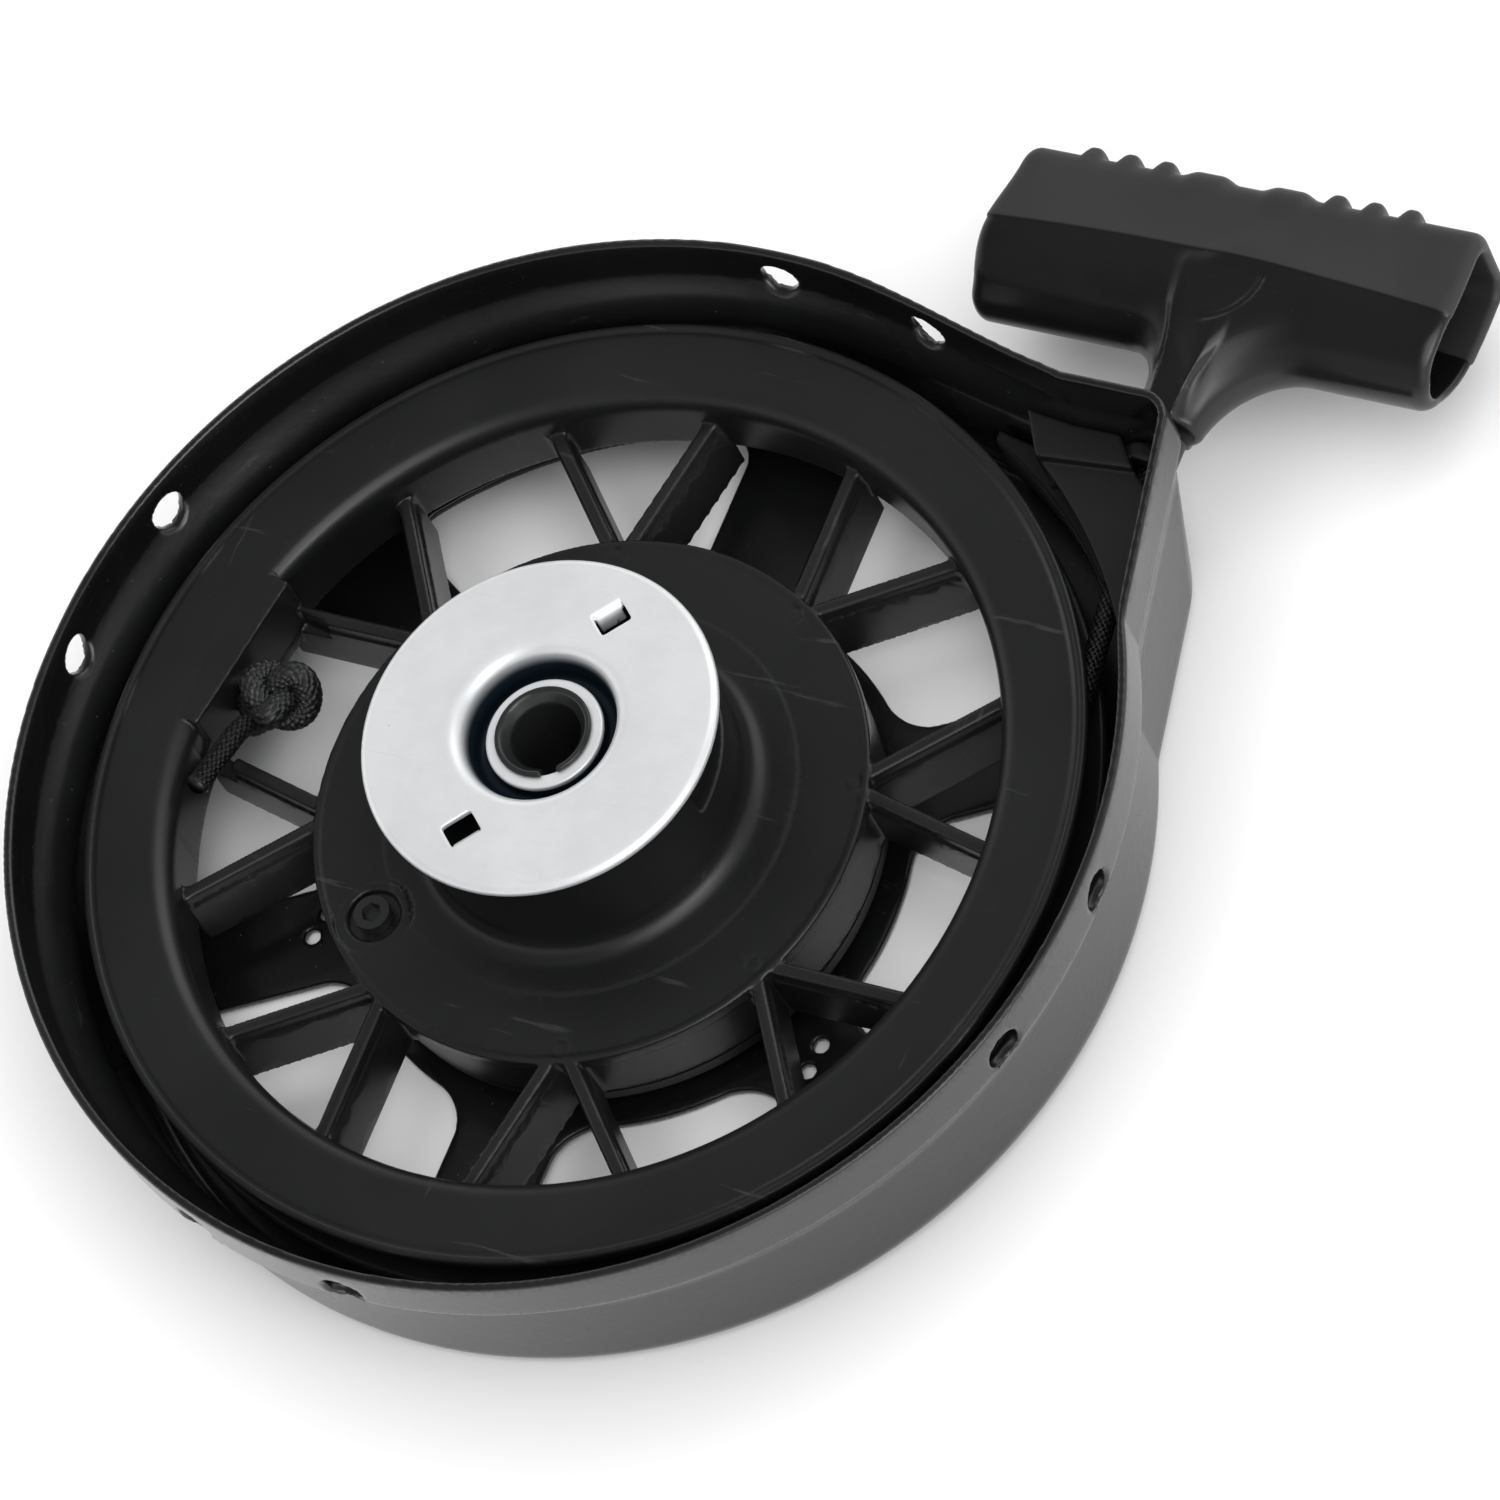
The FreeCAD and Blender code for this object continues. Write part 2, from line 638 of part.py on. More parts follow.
# ----------------------------------------------------------------------- dogs
def build_dogs():
    lean = size("dog_lean")
    reach = size("dog_reach")
    tip = turn(0, reach, lean)
    eye = cylinder("dog_eye", "dog_eye", "dog_depth", "0")
    nose = cylinder("dog_nose", "dog_tip", "dog_depth", "0", tip[0], tip[1])
    arm = prism("dog_arm", [("-2.6", "0"), ("3.2", "0"), ("dog_tip", "dog_reach"),
                            ("-dog_tip", "dog_reach")], "0", "dog_depth")
    arm.Placement = FreeCAD.Placement(FreeCAD.Vector(), FreeCAD.Rotation(FreeCAD.Vector(0, 0, 1), lean))
    blank = fused("dog_blank", [eye, nose, arm])
    bore = cylinder("dog_bore", "dog_pivot + running_gap", "dog_depth + 2", "-1")
    dog = cut("dog", blank, [bore])
    ring = doc.addObject("Part::Torus", "dog_spring_ring")
    bind(ring, "Radius1", "dog_pivot + 3 * dog_wire")
    bind(ring, "Radius2", "dog_wire")
    leg = doc.addObject("Part::Cylinder", "dog_spring_leg")
    bind(leg, "Radius", "dog_wire")
    bind(leg, "Height", "dog_wire_leg")
    leg.Placement = FreeCAD.Placement(
        FreeCAD.Vector(0, size("dog_pivot + 3 * dog_wire"), 0),
        FreeCAD.Rotation(FreeCAD.Vector(0, 0, 1), FreeCAD.Vector(-1, 0.25, 0)))
    spring = fused("dog_spring", [ring, leg])
    for k, letter in enumerate("ab"):
        angle = size("dog_angle") + 180 * k
        x, y = turn(size("dog_orbit"), 0, angle)
        node("starter_dog_" + letter, copied("dog_" + letter, dog, angle, (x, y, size("dog_base"))))
        node("dog_spring_" + letter,
             copied("wire_" + letter, spring, angle, (x, y, size("boss_floor") + 0.35)))


def build_brake_spring():
    """Three closed turns of round wire between the thrust washer and the retainer."""
    turns = []
    for k in range(3):
        coil = doc.addObject("Part::Torus", "brake_turn_%d" % k)
        bind(coil, "Radius1", "tube_radius - 1.2")
        bind(coil, "Radius2", "brake_wire")
        lift = "thrust_base + thrust_gauge + 0.1 + brake_wire + %d * 1.85 * brake_wire" % k
        bind(coil, "Placement.Base.z", lift)
        turns.append(coil)
    node("brake_spring", fused("brake", turns))


# ------------------------------------------------------------- rope and guide
def lead_route():
    """Ends of the straight stretch from the coil to the guide, tangent to the coil."""
    x, y = size("rope_offset"), size("guide_back")
    pitch = size("lead_pitch")
    bearing = math.atan2(y, x) - math.acos(pitch / math.hypot(x, y))
    touch = FreeCAD.Vector(pitch * math.cos(bearing), pitch * math.sin(bearing), size("rope_height"))
    end = FreeCAD.Vector(x, y, size("rope_height"))
    return touch, end


def build_rope():
    node("rope_wound", turned("coil", [
        ("drum_radius + 0.05", "rope_height - 3.6"), ("coil_radius - 0.6", "rope_height - 3.6"),
        ("coil_radius", "rope_height - 3"), ("coil_radius", "rope_height + 3"),
        ("coil_radius - 0.6", "rope_height + 3.6"), ("drum_radius + 0.05", "rope_height + 3.6")]))
    touch, end = lead_route()
    way = (end - touch).normalize()
    start = touch + way * size("lead_trim")
    lead = doc.addObject("Part::Cylinder", "lead")
    bind(lead, "Radius", "rope_radius")
    lead.Height = (end - start).Length - size("guide_gap") - 0.1
    lead.Placement = FreeCAD.Placement(start, FreeCAD.Rotation(FreeCAD.Vector(0, 0, 1), way))
    node("rope_lead", lead)
    node("rope_pull", y_rod("pull", "rope_radius", "guide_back + guide_gap",
                            "grip_line - guide_back - stem_inset - guide_gap"))


def build_guide():
    """Moulded guide filling the nose below the shelf, bored for the rope."""
    wall = size("sheet_gauge + 0.4")
    jog = size("rim_radius - back_radius")
    outline = nose_outline(size("back_radius") - wall, size("nose_reach") - wall - jog / 2,
                           size("nose_corner") - wall)
    fill = new_body("guide_fill")
    sketch = new_sketch(fill, "guide_outline", "XY_Plane", "sheet_gauge + 0.1")
    sketch.addGeometry(outline, False)
    pad = fill.newObject("PartDesign::Pad", "guide_pad")
    pad.Profile = sketch
    bind(pad, "Length", "jog_low - sheet_gauge - 0.5")
    fill.Tip = pad
    core = cylinder("guide_core", "back_radius - sheet_gauge + 0.5", "housing_depth")
    width = "2 * rim_radius"
    trim = box("guide_trim", width, "rim_radius + guide_edge", "housing_depth",
               ("-rim_radius", "-rim_radius", "0"))
    recess = box("guide_recess", "8 * guide_wall", "10 * guide_wall", "jog_low",
                 ("rope_offset - guide_wall", "guide_back - 9 * guide_wall", "rope_height - guide_wall"))
    bore = y_rod("guide_bore_hole", "guide_bore", "guide_edge", "nose_reach - guide_edge")
    back_relief = box("guide_relief", width, "10 * guide_wall", "jog_low",
                      ("guide_edge", "guide_back + 1.5 - 10 * guide_wall", "rope_height - 6"))
    foot = box("guide_foot", width, width, "back_fillet + 0.3", ("-rim_radius", "-rim_radius", "0"))
    node("rope_guide", cut("guide", fill, [core, trim, recess, bore, back_relief, foot]))


def build_pulley_knot():
    """Knot in the pocket with its short tail, meeting the pulley's inner wall."""
    centre = FreeCAD.Vector(size("knot_inset - pocket_wall"), size("knot_line"),
                            size("rope_height + knot_rise"))
    knot = doc.addObject("Part::Ellipsoid", "knot_ball")
    bind(knot, "Radius1", "knot_depth")
    bind(knot, "Radius2", "knot_width")
    bind(knot, "Radius3", "knot_height")
    knot.Placement = FreeCAD.Placement(centre, FreeCAD.Rotation())
    tail = doc.addObject("Part::Cylinder", "knot_tail")
    bind(tail, "Radius", "rope_radius")
    bind(tail, "Height", "tail_length")
    way = FreeCAD.Vector(-3.2, -17.5, 2.6)
    tail.Placement = FreeCAD.Placement(centre, FreeCAD.Rotation(FreeCAD.Vector(0, 0, 1), way))
    node("pulley_knot", fused("knot", [knot, tail]))


# --------------------------------------------------------------------- handle
def grip_section(inset):
    """D-shaped section of the grip across its length, moved inwards by inset."""
    front = size("grip_front") - inset
    back = size("grip_back") - inset
    half = size("grip_half") - inset
    corner = size("grip_corner") - inset / 2
    mid = corner * (1 - math.sqrt(0.5))
    line = size("grip_line")

    def at(y, z):
        return FreeCAD.Vector(0, line + y, size("rope_height") + z)

    edges = [
        Part.LineSegment(at(0, half), at(front - corner, half)),
        Part.Arc(at(front - corner, half), at(front - mid, half - mid), at(front, half - corner)),
        Part.LineSegment(at(front, half - corner), at(front, corner - half)),
        Part.Arc(at(front, corner - half), at(front - mid, mid - half), at(front - corner, -half)),
        Part.LineSegment(at(front - corner, -half), at(0, -half)),
    ]
    ellipse = Part.Ellipse(at(-back, 0), at(0, half), at(0, 0))
    edges.append(Part.ArcOfEllipse(ellipse, -math.pi / 2, math.pi / 2))
    shapes = [edge.toShape() for edge in edges]
    return Part.Face(Part.Wire(Part.__sortEdges__(shapes)))


def build_handle():
    length = size("grip_length")
    left = size("grip_centre") - length / 2
    section = grip_section(0.0)
    section.translate(FreeCAD.Vector(left, 0, 0))
    grip = placed("grip_blank", section.extrude(FreeCAD.Vector(length, 0, 0)))
    ridges = []
    for side in (-1, 1):
        for k in range(4):
            ridge = doc.addObject("Part::Cylinder", "ridge_%d_%d" % (side + 1, k))
            bind(ridge, "Radius", "ridge_radius")
            bind(ridge, "Height", "2 * grip_half - 6")
            x = size("grip_centre") + side * size("ridge_first + %d * ridge_pitch" % k)
            ridge.Placement.Base = FreeCAD.Vector(x, size("grip_line + grip_front - 0.6"),
                                                  size("rope_height - grip_half + 3"))
            ridges.append(ridge)
    stem = doc.addObject("Part::Cone", "stem_cone")
    bind(stem, "Radius1", "stem_radius")
    bind(stem, "Radius2", "stem_radius + stem_growth")
    bind(stem, "Height", "grip_line - stem_inset - stem_end")
    stem.Placement = FreeCAD.Placement(
        FreeCAD.Vector(size("rope_offset"), size("stem_end"), size("rope_height")),
        FreeCAD.Rotation(FreeCAD.Vector(1, 0, 0), -90))
    hollows = []
    hollow_face = grip_section(size("grip_wall"))
    for side in (-1, 1):
        face = hollow_face.copy()
        start = size("rope_offset") + side * size("grip_web")
        face.translate(FreeCAD.Vector(start, 0, 0))
        hollows.append(placed("hollow_%d" % (side + 1), face.extrude(FreeCAD.Vector(side * 60, 0, 0))))
    bore = y_rod("stem_bore", "rope_radius + 0.25", "stem_end - 2", "grip_line - stem_end - 3")
    seat = y_rod("insert_seat", "insert_radius + 0.05", "grip_line - stem_inset", "16")
    whole = fused("grip_solid", [grip, stem] + ridges)
    node("handle_grip", cut("grip", whole, hollows + [bore, seat]))
    collar = y_rod("insert_collar", "insert_radius", "grip_line - 5.9", "4.9")
    way = y_rod("insert_bore", "rope_radius + 0.05", "grip_line - 8", "10")
    node("handle_insert", cut("insert", collar, [way]))
    stop = doc.addObject("Part::Sphere", "stop_knot")
    bind(stop, "Radius", "insert_radius - 0.3")
    stop.Placement.Base = FreeCAD.Vector(size("rope_offset"), size("grip_line + stop_knot_gap"),
                                         size("rope_height"))
    node("handle_knot", stop)


build_housing()
build_post()
build_pin()
build_washers()
build_retainer()
build_pulley()
build_cover()
build_rewind_spring()
build_dogs()
build_brake_spring()
build_rope()
build_guide()
build_pulley_knot()
build_handle()
doc.recompute()

# --------------------------------------------------------------------- export
for item in doc.Objects:
    bad = [state for state in item.State if state in ("Invalid", "Error")]
    if bad:
        raise RuntimeError("%s is %s" % (item.Name, bad))

os.makedirs("parts", exist_ok=True)
for name, obj in nodes.items():
    shape = obj.Shape
    if shape.isNull() or not shape.isValid() or not shape.Solids:
        raise RuntimeError(name + " has no valid solid")
for name, obj in nodes.items():
    obj.Shape.exportStep("parts/%s.step" % name)
    print("%-18s %2d solid %10.1f mm3" % (name, len(obj.Shape.Solids), obj.Shape.Volume))
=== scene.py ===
import math

import bpy
import numpy as np
from mathutils import Matrix, Vector


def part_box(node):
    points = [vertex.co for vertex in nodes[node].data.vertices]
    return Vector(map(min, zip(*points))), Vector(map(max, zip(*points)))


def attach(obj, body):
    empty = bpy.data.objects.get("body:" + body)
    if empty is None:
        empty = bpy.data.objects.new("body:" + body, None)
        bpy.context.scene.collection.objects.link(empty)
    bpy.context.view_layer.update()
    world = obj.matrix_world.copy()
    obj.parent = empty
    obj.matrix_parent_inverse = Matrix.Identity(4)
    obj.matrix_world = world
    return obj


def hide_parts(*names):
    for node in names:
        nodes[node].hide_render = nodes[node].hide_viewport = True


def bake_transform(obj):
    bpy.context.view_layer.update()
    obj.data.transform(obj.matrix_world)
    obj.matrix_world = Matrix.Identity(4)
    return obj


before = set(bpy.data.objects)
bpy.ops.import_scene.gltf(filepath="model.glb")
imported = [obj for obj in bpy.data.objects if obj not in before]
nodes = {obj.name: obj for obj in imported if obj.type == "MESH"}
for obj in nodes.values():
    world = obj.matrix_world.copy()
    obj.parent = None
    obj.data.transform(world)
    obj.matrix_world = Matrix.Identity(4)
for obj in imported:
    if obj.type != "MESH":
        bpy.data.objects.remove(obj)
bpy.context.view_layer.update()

MM = 0.001


def corners(node):
    """Lowest and highest corner of a CAD node, in millimetres."""
    low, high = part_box(node)
    return np.array(low) / MM, np.array(high) / MM


# ------------------------------------------------------------------ solid maths
# Distances in millimetres: below zero inside a solid, above zero outside it.
def joined(a, b, r):
    """Union with a hollow fillet of radius r."""
    return np.maximum(r, np.minimum(a, b)) - np.hypot(np.maximum(r - a, 0), np.maximum(r - b, 0))


def common(a, b, r):
    """Intersection with an edge rounded to radius r."""
    return np.minimum(-r, np.maximum(a, b)) + np.hypot(np.maximum(r + a, 0), np.maximum(r + b, 0))


def less(a, b, r):
    """a without b, its new edges rounded to radius r."""
    return common(a, -b, r)


def slab(t, low, high):
    return np.abs(t - (low + high) / 2) - (high - low) / 2


def ramp(t, low, high):
    """Smooth step from 0 at low to 1 at high."""
    s = np.clip((t - low) / (high - low), 0, 1)
    return s * s * (3 - 2 * s)


def turned_xy(x, y, degrees):
    """Coordinates in axes turned by degrees about +Z."""
    c, s = math.cos(math.radians(degrees)), math.sin(math.radians(degrees))
    return x * c + y * s, y * c - x * s


def eased(profile, steps=6):
    """Closed outline whose corners (u, v, radius) are replaced by arcs."""
    points = [np.array(p[:2], float) for p in profile]
    out = []
    count = len(points)
    for i, (u, v, radius) in enumerate(profile):
        here, back, on = points[i], points[i - 1], points[(i + 1) % count]
        a, b = back - here, on - here
        la, lb = np.linalg.norm(a), np.linalg.norm(b)
        a, b = a / la, b / lb
        half = math.acos(np.clip(a @ b, -1, 1)) / 2
        if radius <= 0 or half > math.pi / 2 - 0.02:
            out.append(here)
            continue
        reach = min(radius / math.tan(half), 0.48 * la, 0.48 * lb)
        r = reach * math.tan(half)
        middle = (a + b) / np.linalg.norm(a + b)
        centre = here + middle * r / math.sin(half)
        first, last = here + a * reach - centre, here + b * reach - centre
        sweep = math.pi - 2 * half
        side = np.sign(first[0] * last[1] - first[1] * last[0])
        for k in range(steps + 1):
            angle = side * sweep * k / steps
            c, s = math.cos(angle), math.sin(angle)
            out.append(centre + np.array([first[0] * c - first[1] * s, first[0] * s + first[1] * c]))
    return np.array(out)


def outline_distance(outline, u, v):
    """Signed distance of the points (u, v) from a closed outline."""
    best = np.full(np.broadcast(u, v).shape, 1e9)
    inside = np.zeros(best.shape, bool)
    for a, b in zip(outline, np.roll(outline, -1, 0)):
        e = b - a
        t = np.clip(((u - a[0]) * e[0] + (v - a[1]) * e[1]) / max(e @ e, 1e-12), 0, 1)
        best = np.minimum(best, (u - a[0] - t * e[0]) ** 2 + (v - a[1] - t * e[1]) ** 2)
        if a[1] != b[1]:
            crosses = (a[1] > v) != (b[1] > v)
            inside ^= crosses & (u < a[0] + (v - a[1]) * e[0] / e[1])
    best = np.sqrt(best)
    return np.where(inside, -best, best)


def lathe(profiles, reach, bottom, top, fine=0.2):
    """Distance function (r, z) of solids turned about +Z; profiles hold (radius, height, rounding)."""
    radii = np.arange(0, reach + 2 * fine, fine)
    heights = np.arange(bottom, top + 2 * fine, fine)
    table = np.full((len(radii), len(heights)), 1e9)
    for profile in profiles:
        table = np.minimum(table, outline_distance(eased(profile), radii[:, None], heights[None, :]))

    def distance(r, z):
        u = np.clip(r / fine, 0, len(radii) - 1.001)
        v = np.clip((z - bottom) / fine, 0, len(heights) - 1.001)
        i, j = u.astype(int), v.astype(int)
        u, v = u - i, v - j
        low = table[i, j] * (1 - u) + table[i + 1, j] * u
        high = table[i, j + 1] * (1 - u) + table[i + 1, j + 1] * u
        return low * (1 - v) + high * v

    return distance


# ------------------------------------------------------------------ mesh making
SETTLING_STEPS = 2
PROBE = 0.04
FLATTEST = 0.3


def mesh_object(name, vertices, faces, smooth=True):
    mesh = bpy.data.meshes.new(name)
    mesh.from_pydata((np.asarray(vertices) * MM).tolist(), [], faces)
    mesh.update()
    obj = bpy.data.objects.new(name, mesh)
    bpy.context.scene.collection.objects.link(obj)
    if smooth:
        mesh.shade_smooth()
    return obj


def modified(obj):
    """The object's mesh with its modifiers applied."""
    graph = bpy.context.evaluated_depsgraph_get()
    mesh = bpy.data.meshes.new_from_object(obj.evaluated_get(graph))
    old = obj.data
    obj.modifiers.clear()
    obj.data = mesh
    bpy.data.meshes.remove(old)
    mesh.name = obj.name
    return obj


def surface_of(name, low, high, step, distance, keep):
    """Closed mesh of the surface of distance(x, y, z), thinned to a share of its faces."""
    axes = [np.arange(a - 2 * step, b + 2.5 * step, step) for a, b in zip(low, high)]
    x, y, z = np.meshgrid(*axes, indexing="ij", sparse=True)
    field = distance(x, y, z).astype(np.float32)
    field = np.where(np.abs(field) < 1e-5, np.float32(1e-5), field)
    for axis in range(3):
        border = [slice(None)] * 3
        border[axis] = [0, -1]
        field[tuple(border)] = step
    inside = field < 0
    nx, ny, nz = (n - 1 for n in field.shape)
    count = np.zeros((nx, ny, nz), np.int8)
    for i in (0, 1):
        for j in (0, 1):
            for k in (0, 1):
                count += inside[i:nx + i, j:ny + j, k:nz + k]
    cells = np.argwhere((count > 0) & (count < 8))
    number = np.full(count.shape, -1, np.int32)
    number[tuple(cells.T)] = np.arange(len(cells))
    total = np.zeros((len(cells), 3))
    hits = np.zeros(len(cells))
    for axis in range(3):
        unit = np.eye(3, dtype=int)[axis]
        others = [a for a in range(3) if a != axis]
        for i in (0, 1):
            for j in (0, 1):
                start = cells.copy()
                start[:, others[0]] += i
                start[:, others[1]] += j
                end = start + unit
                f0, f1 = field[tuple(start.T)], field[tuple(end.T)]
                crossed = (f0 < 0) != (f1 < 0)
                share = f0[crossed] / (f0[crossed] - f1[crossed])
                total[crossed] += start[crossed] + share[:, None] * unit
                hits[crossed] += 1
    points = np.array([a[0] for a in axes]) + total / hits[:, None] * step
    for _ in range(SETTLING_STEPS):
        here = distance(*points.T)
        slope = np.stack([(distance(*(points + PROBE * unit).T) - here) / PROBE for unit in np.eye(3)], 1)
        shift = -here / np.maximum((slope ** 2).sum(1), FLATTEST)
        shift = np.clip(shift, -0.4 * step, 0.4 * step)
        steepness = np.maximum(np.linalg.norm(slope, axis=1), FLATTEST)
        points = points + shift[:, None] * slope / steepness[:, None]
    faces = []
    for axis in range(3):
        b, c = (axis + 1) % 3, (axis + 2) % 3
        first = np.take(inside, range(inside.shape[axis] - 1), axis)
        second = np.take(inside, range(1, inside.shape[axis]), axis)
        edges = np.argwhere(first != second)
        rising = first[tuple(edges.T)]
        quads = []
        for db, dc in ((1, 1), (0, 1), (0, 0), (1, 0)):
            cell = edges.copy()
            cell[:, b] -= db
            cell[:, c] -= dc
            quads.append(number[tuple(cell.T)])
        quads = np.stack(quads, 1)
        quads[~rising] = quads[~rising][:, ::-1]
        faces.append(quads)
    obj = mesh_object(name, points, np.concatenate(faces).tolist())
    if keep < 1:
        thin = obj.modifiers.new("thin", "DECIMATE")
        thin.ratio = keep
    normal = obj.modifiers.new("normals", "WEIGHTED_NORMAL")
    normal.weight = 50
    return modified(obj)


def tube_mesh(name, path, radius, sides, closed_ends=True):
    """Tube along a path, its ends closed by flat fans when closed_ends is set; radius(along, around) gives its
    surface.
    """
    path = np.asarray(path, float)
    tangent = np.gradient(path, axis=0)
    tangent /= np.linalg.norm(tangent, axis=1)[:, None]
    normal = np.empty_like(path)
    up = np.array([0.0, 0.0, 1.0])
    start = up - (up @ tangent[0]) * tangent[0]
    if np.linalg.norm(start) < 0.2:
        start = np.cross(tangent[0], [1.0, 0.0, 0.0])
    normal[0] = start / np.linalg.norm(start)
    for i in range(1, len(path)):
        turned = normal[i - 1] - (normal[i - 1] @ tangent[i]) * tangent[i]
        normal[i] = turned / np.linalg.norm(turned)
    side = np.cross(tangent, normal)
    along = np.concatenate([[0], np.cumsum(np.linalg.norm(np.diff(path, axis=0), axis=1))])
    angle = np.arange(sides) * 2 * math.pi / sides
    reach = radius(along[:, None], angle[None, :])
    cosine, sine = np.cos(angle)[None, :, None], np.sin(angle)[None, :, None]
    ring = normal[:, None, :] * cosine + side[:, None, :] * sine
    points = path[:, None, :] + ring * reach[:, :, None]
    count = len(path)
    vertices = points.reshape(-1, 3)
    faces = []
    for i in range(count - 1):
        for j in range(sides):
            k = (j + 1) % sides
            faces.append((i * sides + j, i * sides + k, (i + 1) * sides + k, (i + 1) * sides + j))
    if closed_ends:
        vertices = np.concatenate([vertices, path[:1], path[-1:]])
        last = (count - 1) * sides
        for j in range(sides):
            k = (j + 1) % sides
            faces.append((count * sides, k, j))
            faces.append((count * sides + 1, last + j, last + k))
    obj = mesh_object(name, vertices, faces)
    # Crown share of each vertex, 0 in the gaps and 1 on the strand crowns; the rope finish paints shade into the
    # gaps from it, and a tube of even radius gets 0 throughout.
    crown = np.zeros(len(vertices))
    crown[:count * sides] = ((reach - reach.min()) / max(np.ptp(reach), 1e-9)).ravel()
    shade = obj.data.color_attributes.new("crown", "FLOAT_COLOR", "POINT")
    shade.data.foreach_set("color", np.repeat(crown, 4))
    return obj


# -------------------------------------------------------------------- materials
class Finish:
    """A node material, built up one node at a time."""

    def __init__(self, name):
        self.material = bpy.data.materials.new(name)
        self.material.use_nodes = True
        self.tree = self.material.node_tree
        self.shader = self.tree.nodes["Principled BSDF"]
        self.place = self.node("ShaderNodeTexCoord").outputs["Object"]

    def node(self, kind, **settings):
        made = self.tree.nodes.new(kind)
        for key, value in settings.items():
            setattr(made, key, value)
        return made

    def feed(self, socket, value):
        if isinstance(value, bpy.types.NodeSocket):
            self.tree.links.new(value, socket)
        else:
            socket.default_value = value

    def stretch(self, scale, source=None):
        made = self.node("ShaderNodeMapping")
        self.feed(made.inputs["Vector"], source or self.place)
        made.inputs["Scale"].default_value = scale
        return made.outputs["Vector"]

    def noise(self, scale, detail=4.0, rough=0.55, source=None):
        made = self.node("ShaderNodeTexNoise")
        self.feed(made.inputs["Vector"], source or self.place)
        made.inputs["Scale"].default_value = scale
        made.inputs["Detail"].default_value = detail
        made.inputs["Roughness"].default_value = rough
        return made.outputs["Fac"]

    def cells(self, scale, source=None):
        made = self.node("ShaderNodeTexVoronoi")
        self.feed(made.inputs["Vector"], source or self.place)
        made.inputs["Scale"].default_value = scale
        return made.outputs["Distance"]

    def spread(self, value, low, high, out_low=0.0, out_high=1.0):
        made = self.node("ShaderNodeMapRange")
        made.interpolation_type = "SMOOTHSTEP"
        self.feed(made.inputs["Value"], value)
        limits = {"From Min": low, "From Max": high, "To Min": out_low, "To Max": out_high}
        for key, number in limits.items():
            made.inputs[key].default_value = number
        return made.outputs["Result"]

    def math(self, operation, a, b=0.0):
        made = self.node("ShaderNodeMath", operation=operation)
        self.feed(made.inputs[0], a)
        self.feed(made.inputs[1], b)
        return made.outputs[0]

    def blend(self, share, a, b):
        made = self.node("ShaderNodeMix", data_type="RGBA")
        self.feed(made.inputs[0], share)
        for socket, value in ((made.inputs[6], a), (made.inputs[7], b)):
            self.feed(socket, value if isinstance(value, bpy.types.NodeSocket) else (*value, 1.0))
        return made.outputs[2]

    def bump(self, height, depth, strength=1.0, before=None):
        made = self.node("ShaderNodeBump")
        self.feed(made.inputs["Height"], height)
        made.inputs["Distance"].default_value = depth * MM
        made.inputs["Strength"].default_value = strength
        if before is not None:
            self.feed(made.inputs["Normal"], before)
        return made.outputs["Normal"]

    def done(self, colour, rough, normal=None, **plain):
        self.feed(self.shader.inputs["Base Color"], colour)
        self.feed(self.shader.inputs["Roughness"], rough)
        if normal is not None:
            self.feed(self.shader.inputs["Normal"], normal)
        for key, value in plain.items():
            self.shader.inputs[key.replace("_", " ")].default_value = value
        return self.material


def grey(value, tint=0.0):
    """Neutral colour, bluer for a tint above zero."""
    return (value * (1 - tint), value, value * (1 + tint))


def painted(name, level, rough, peel):
    """Sprayed gloss paint on steel: orange peel, dust specks, faint rubs."""
    f = Finish(name)
    cloud = f.noise(22, 5)
    dust = f.spread(f.cells(340), 0.0, 0.085, 1.0, 0.0)
    rub = f.spread(f.noise(60, 8, 0.7, f.stretch((1.0, 1.0, 7.0))), 0.60, 0.78)
    base = f.blend(f.spread(cloud, 0.3, 0.7), grey(level, 0.04), grey(level * 1.7, 0.03))
    base = f.blend(f.math("MULTIPLY", rub, 0.22), base, grey(0.09))
    base = f.blend(f.math("MULTIPLY", dust, 0.16), base, grey(0.30))
    gloss = f.math("ADD", f.spread(cloud, 0.3, 0.75, rough, rough + 0.09), f.math("MULTIPLY", rub, 0.16))
    normal = f.bump(f.noise(620, 2), peel)
    normal = f.bump(f.noise(2600, 2), peel * 0.25, 1.0, normal)
    return f.done(base, gloss, normal, Coat_Weight=0.35, Coat_Roughness=0.16)


def moulded(name, level, rough, grain, scuff=0.5):
    """Injection-moulded black plastic: fine grain, flow marks, scuffs and dust."""
    f = Finish(name)
    cloud = f.noise(30, 5)
    flow = f.noise(9, 3, 0.5, f.stretch((1.0, 1.0, 3.0)))
    dust = f.spread(f.cells(420), 0.0, 0.075, 1.0, 0.0)
    streak = f.noise(26, 6, 0.62, f.stretch((1.0, 14.0, 3.0)))
    scratch = f.spread(streak, 0.655, 0.70)
    cross = f.spread(f.noise(26, 6, 0.62, f.stretch((13.0, 1.0, 3.0))), 0.665, 0.71)
    marks = f.math("MAXIMUM", scratch, cross)
    base = f.blend(f.spread(cloud, 0.3, 0.72), grey(level, 0.03), grey(level * 1.45, 0.03))
    base = f.blend(f.math("MULTIPLY", marks, 0.10 * scuff), base, grey(0.28))
    base = f.blend(f.math("MULTIPLY", dust, 0.14 * scuff), base, grey(0.34))
    gloss = f.math("ADD", f.spread(flow, 0.3, 0.7, rough - 0.05, rough + 0.07),
                   f.math("MULTIPLY", marks, 0.12))
    normal = f.bump(f.noise(1900, 3), grain)
    normal = f.bump(marks, grain * 0.35, 1.0, normal)
    return f.done(base, gloss, normal)


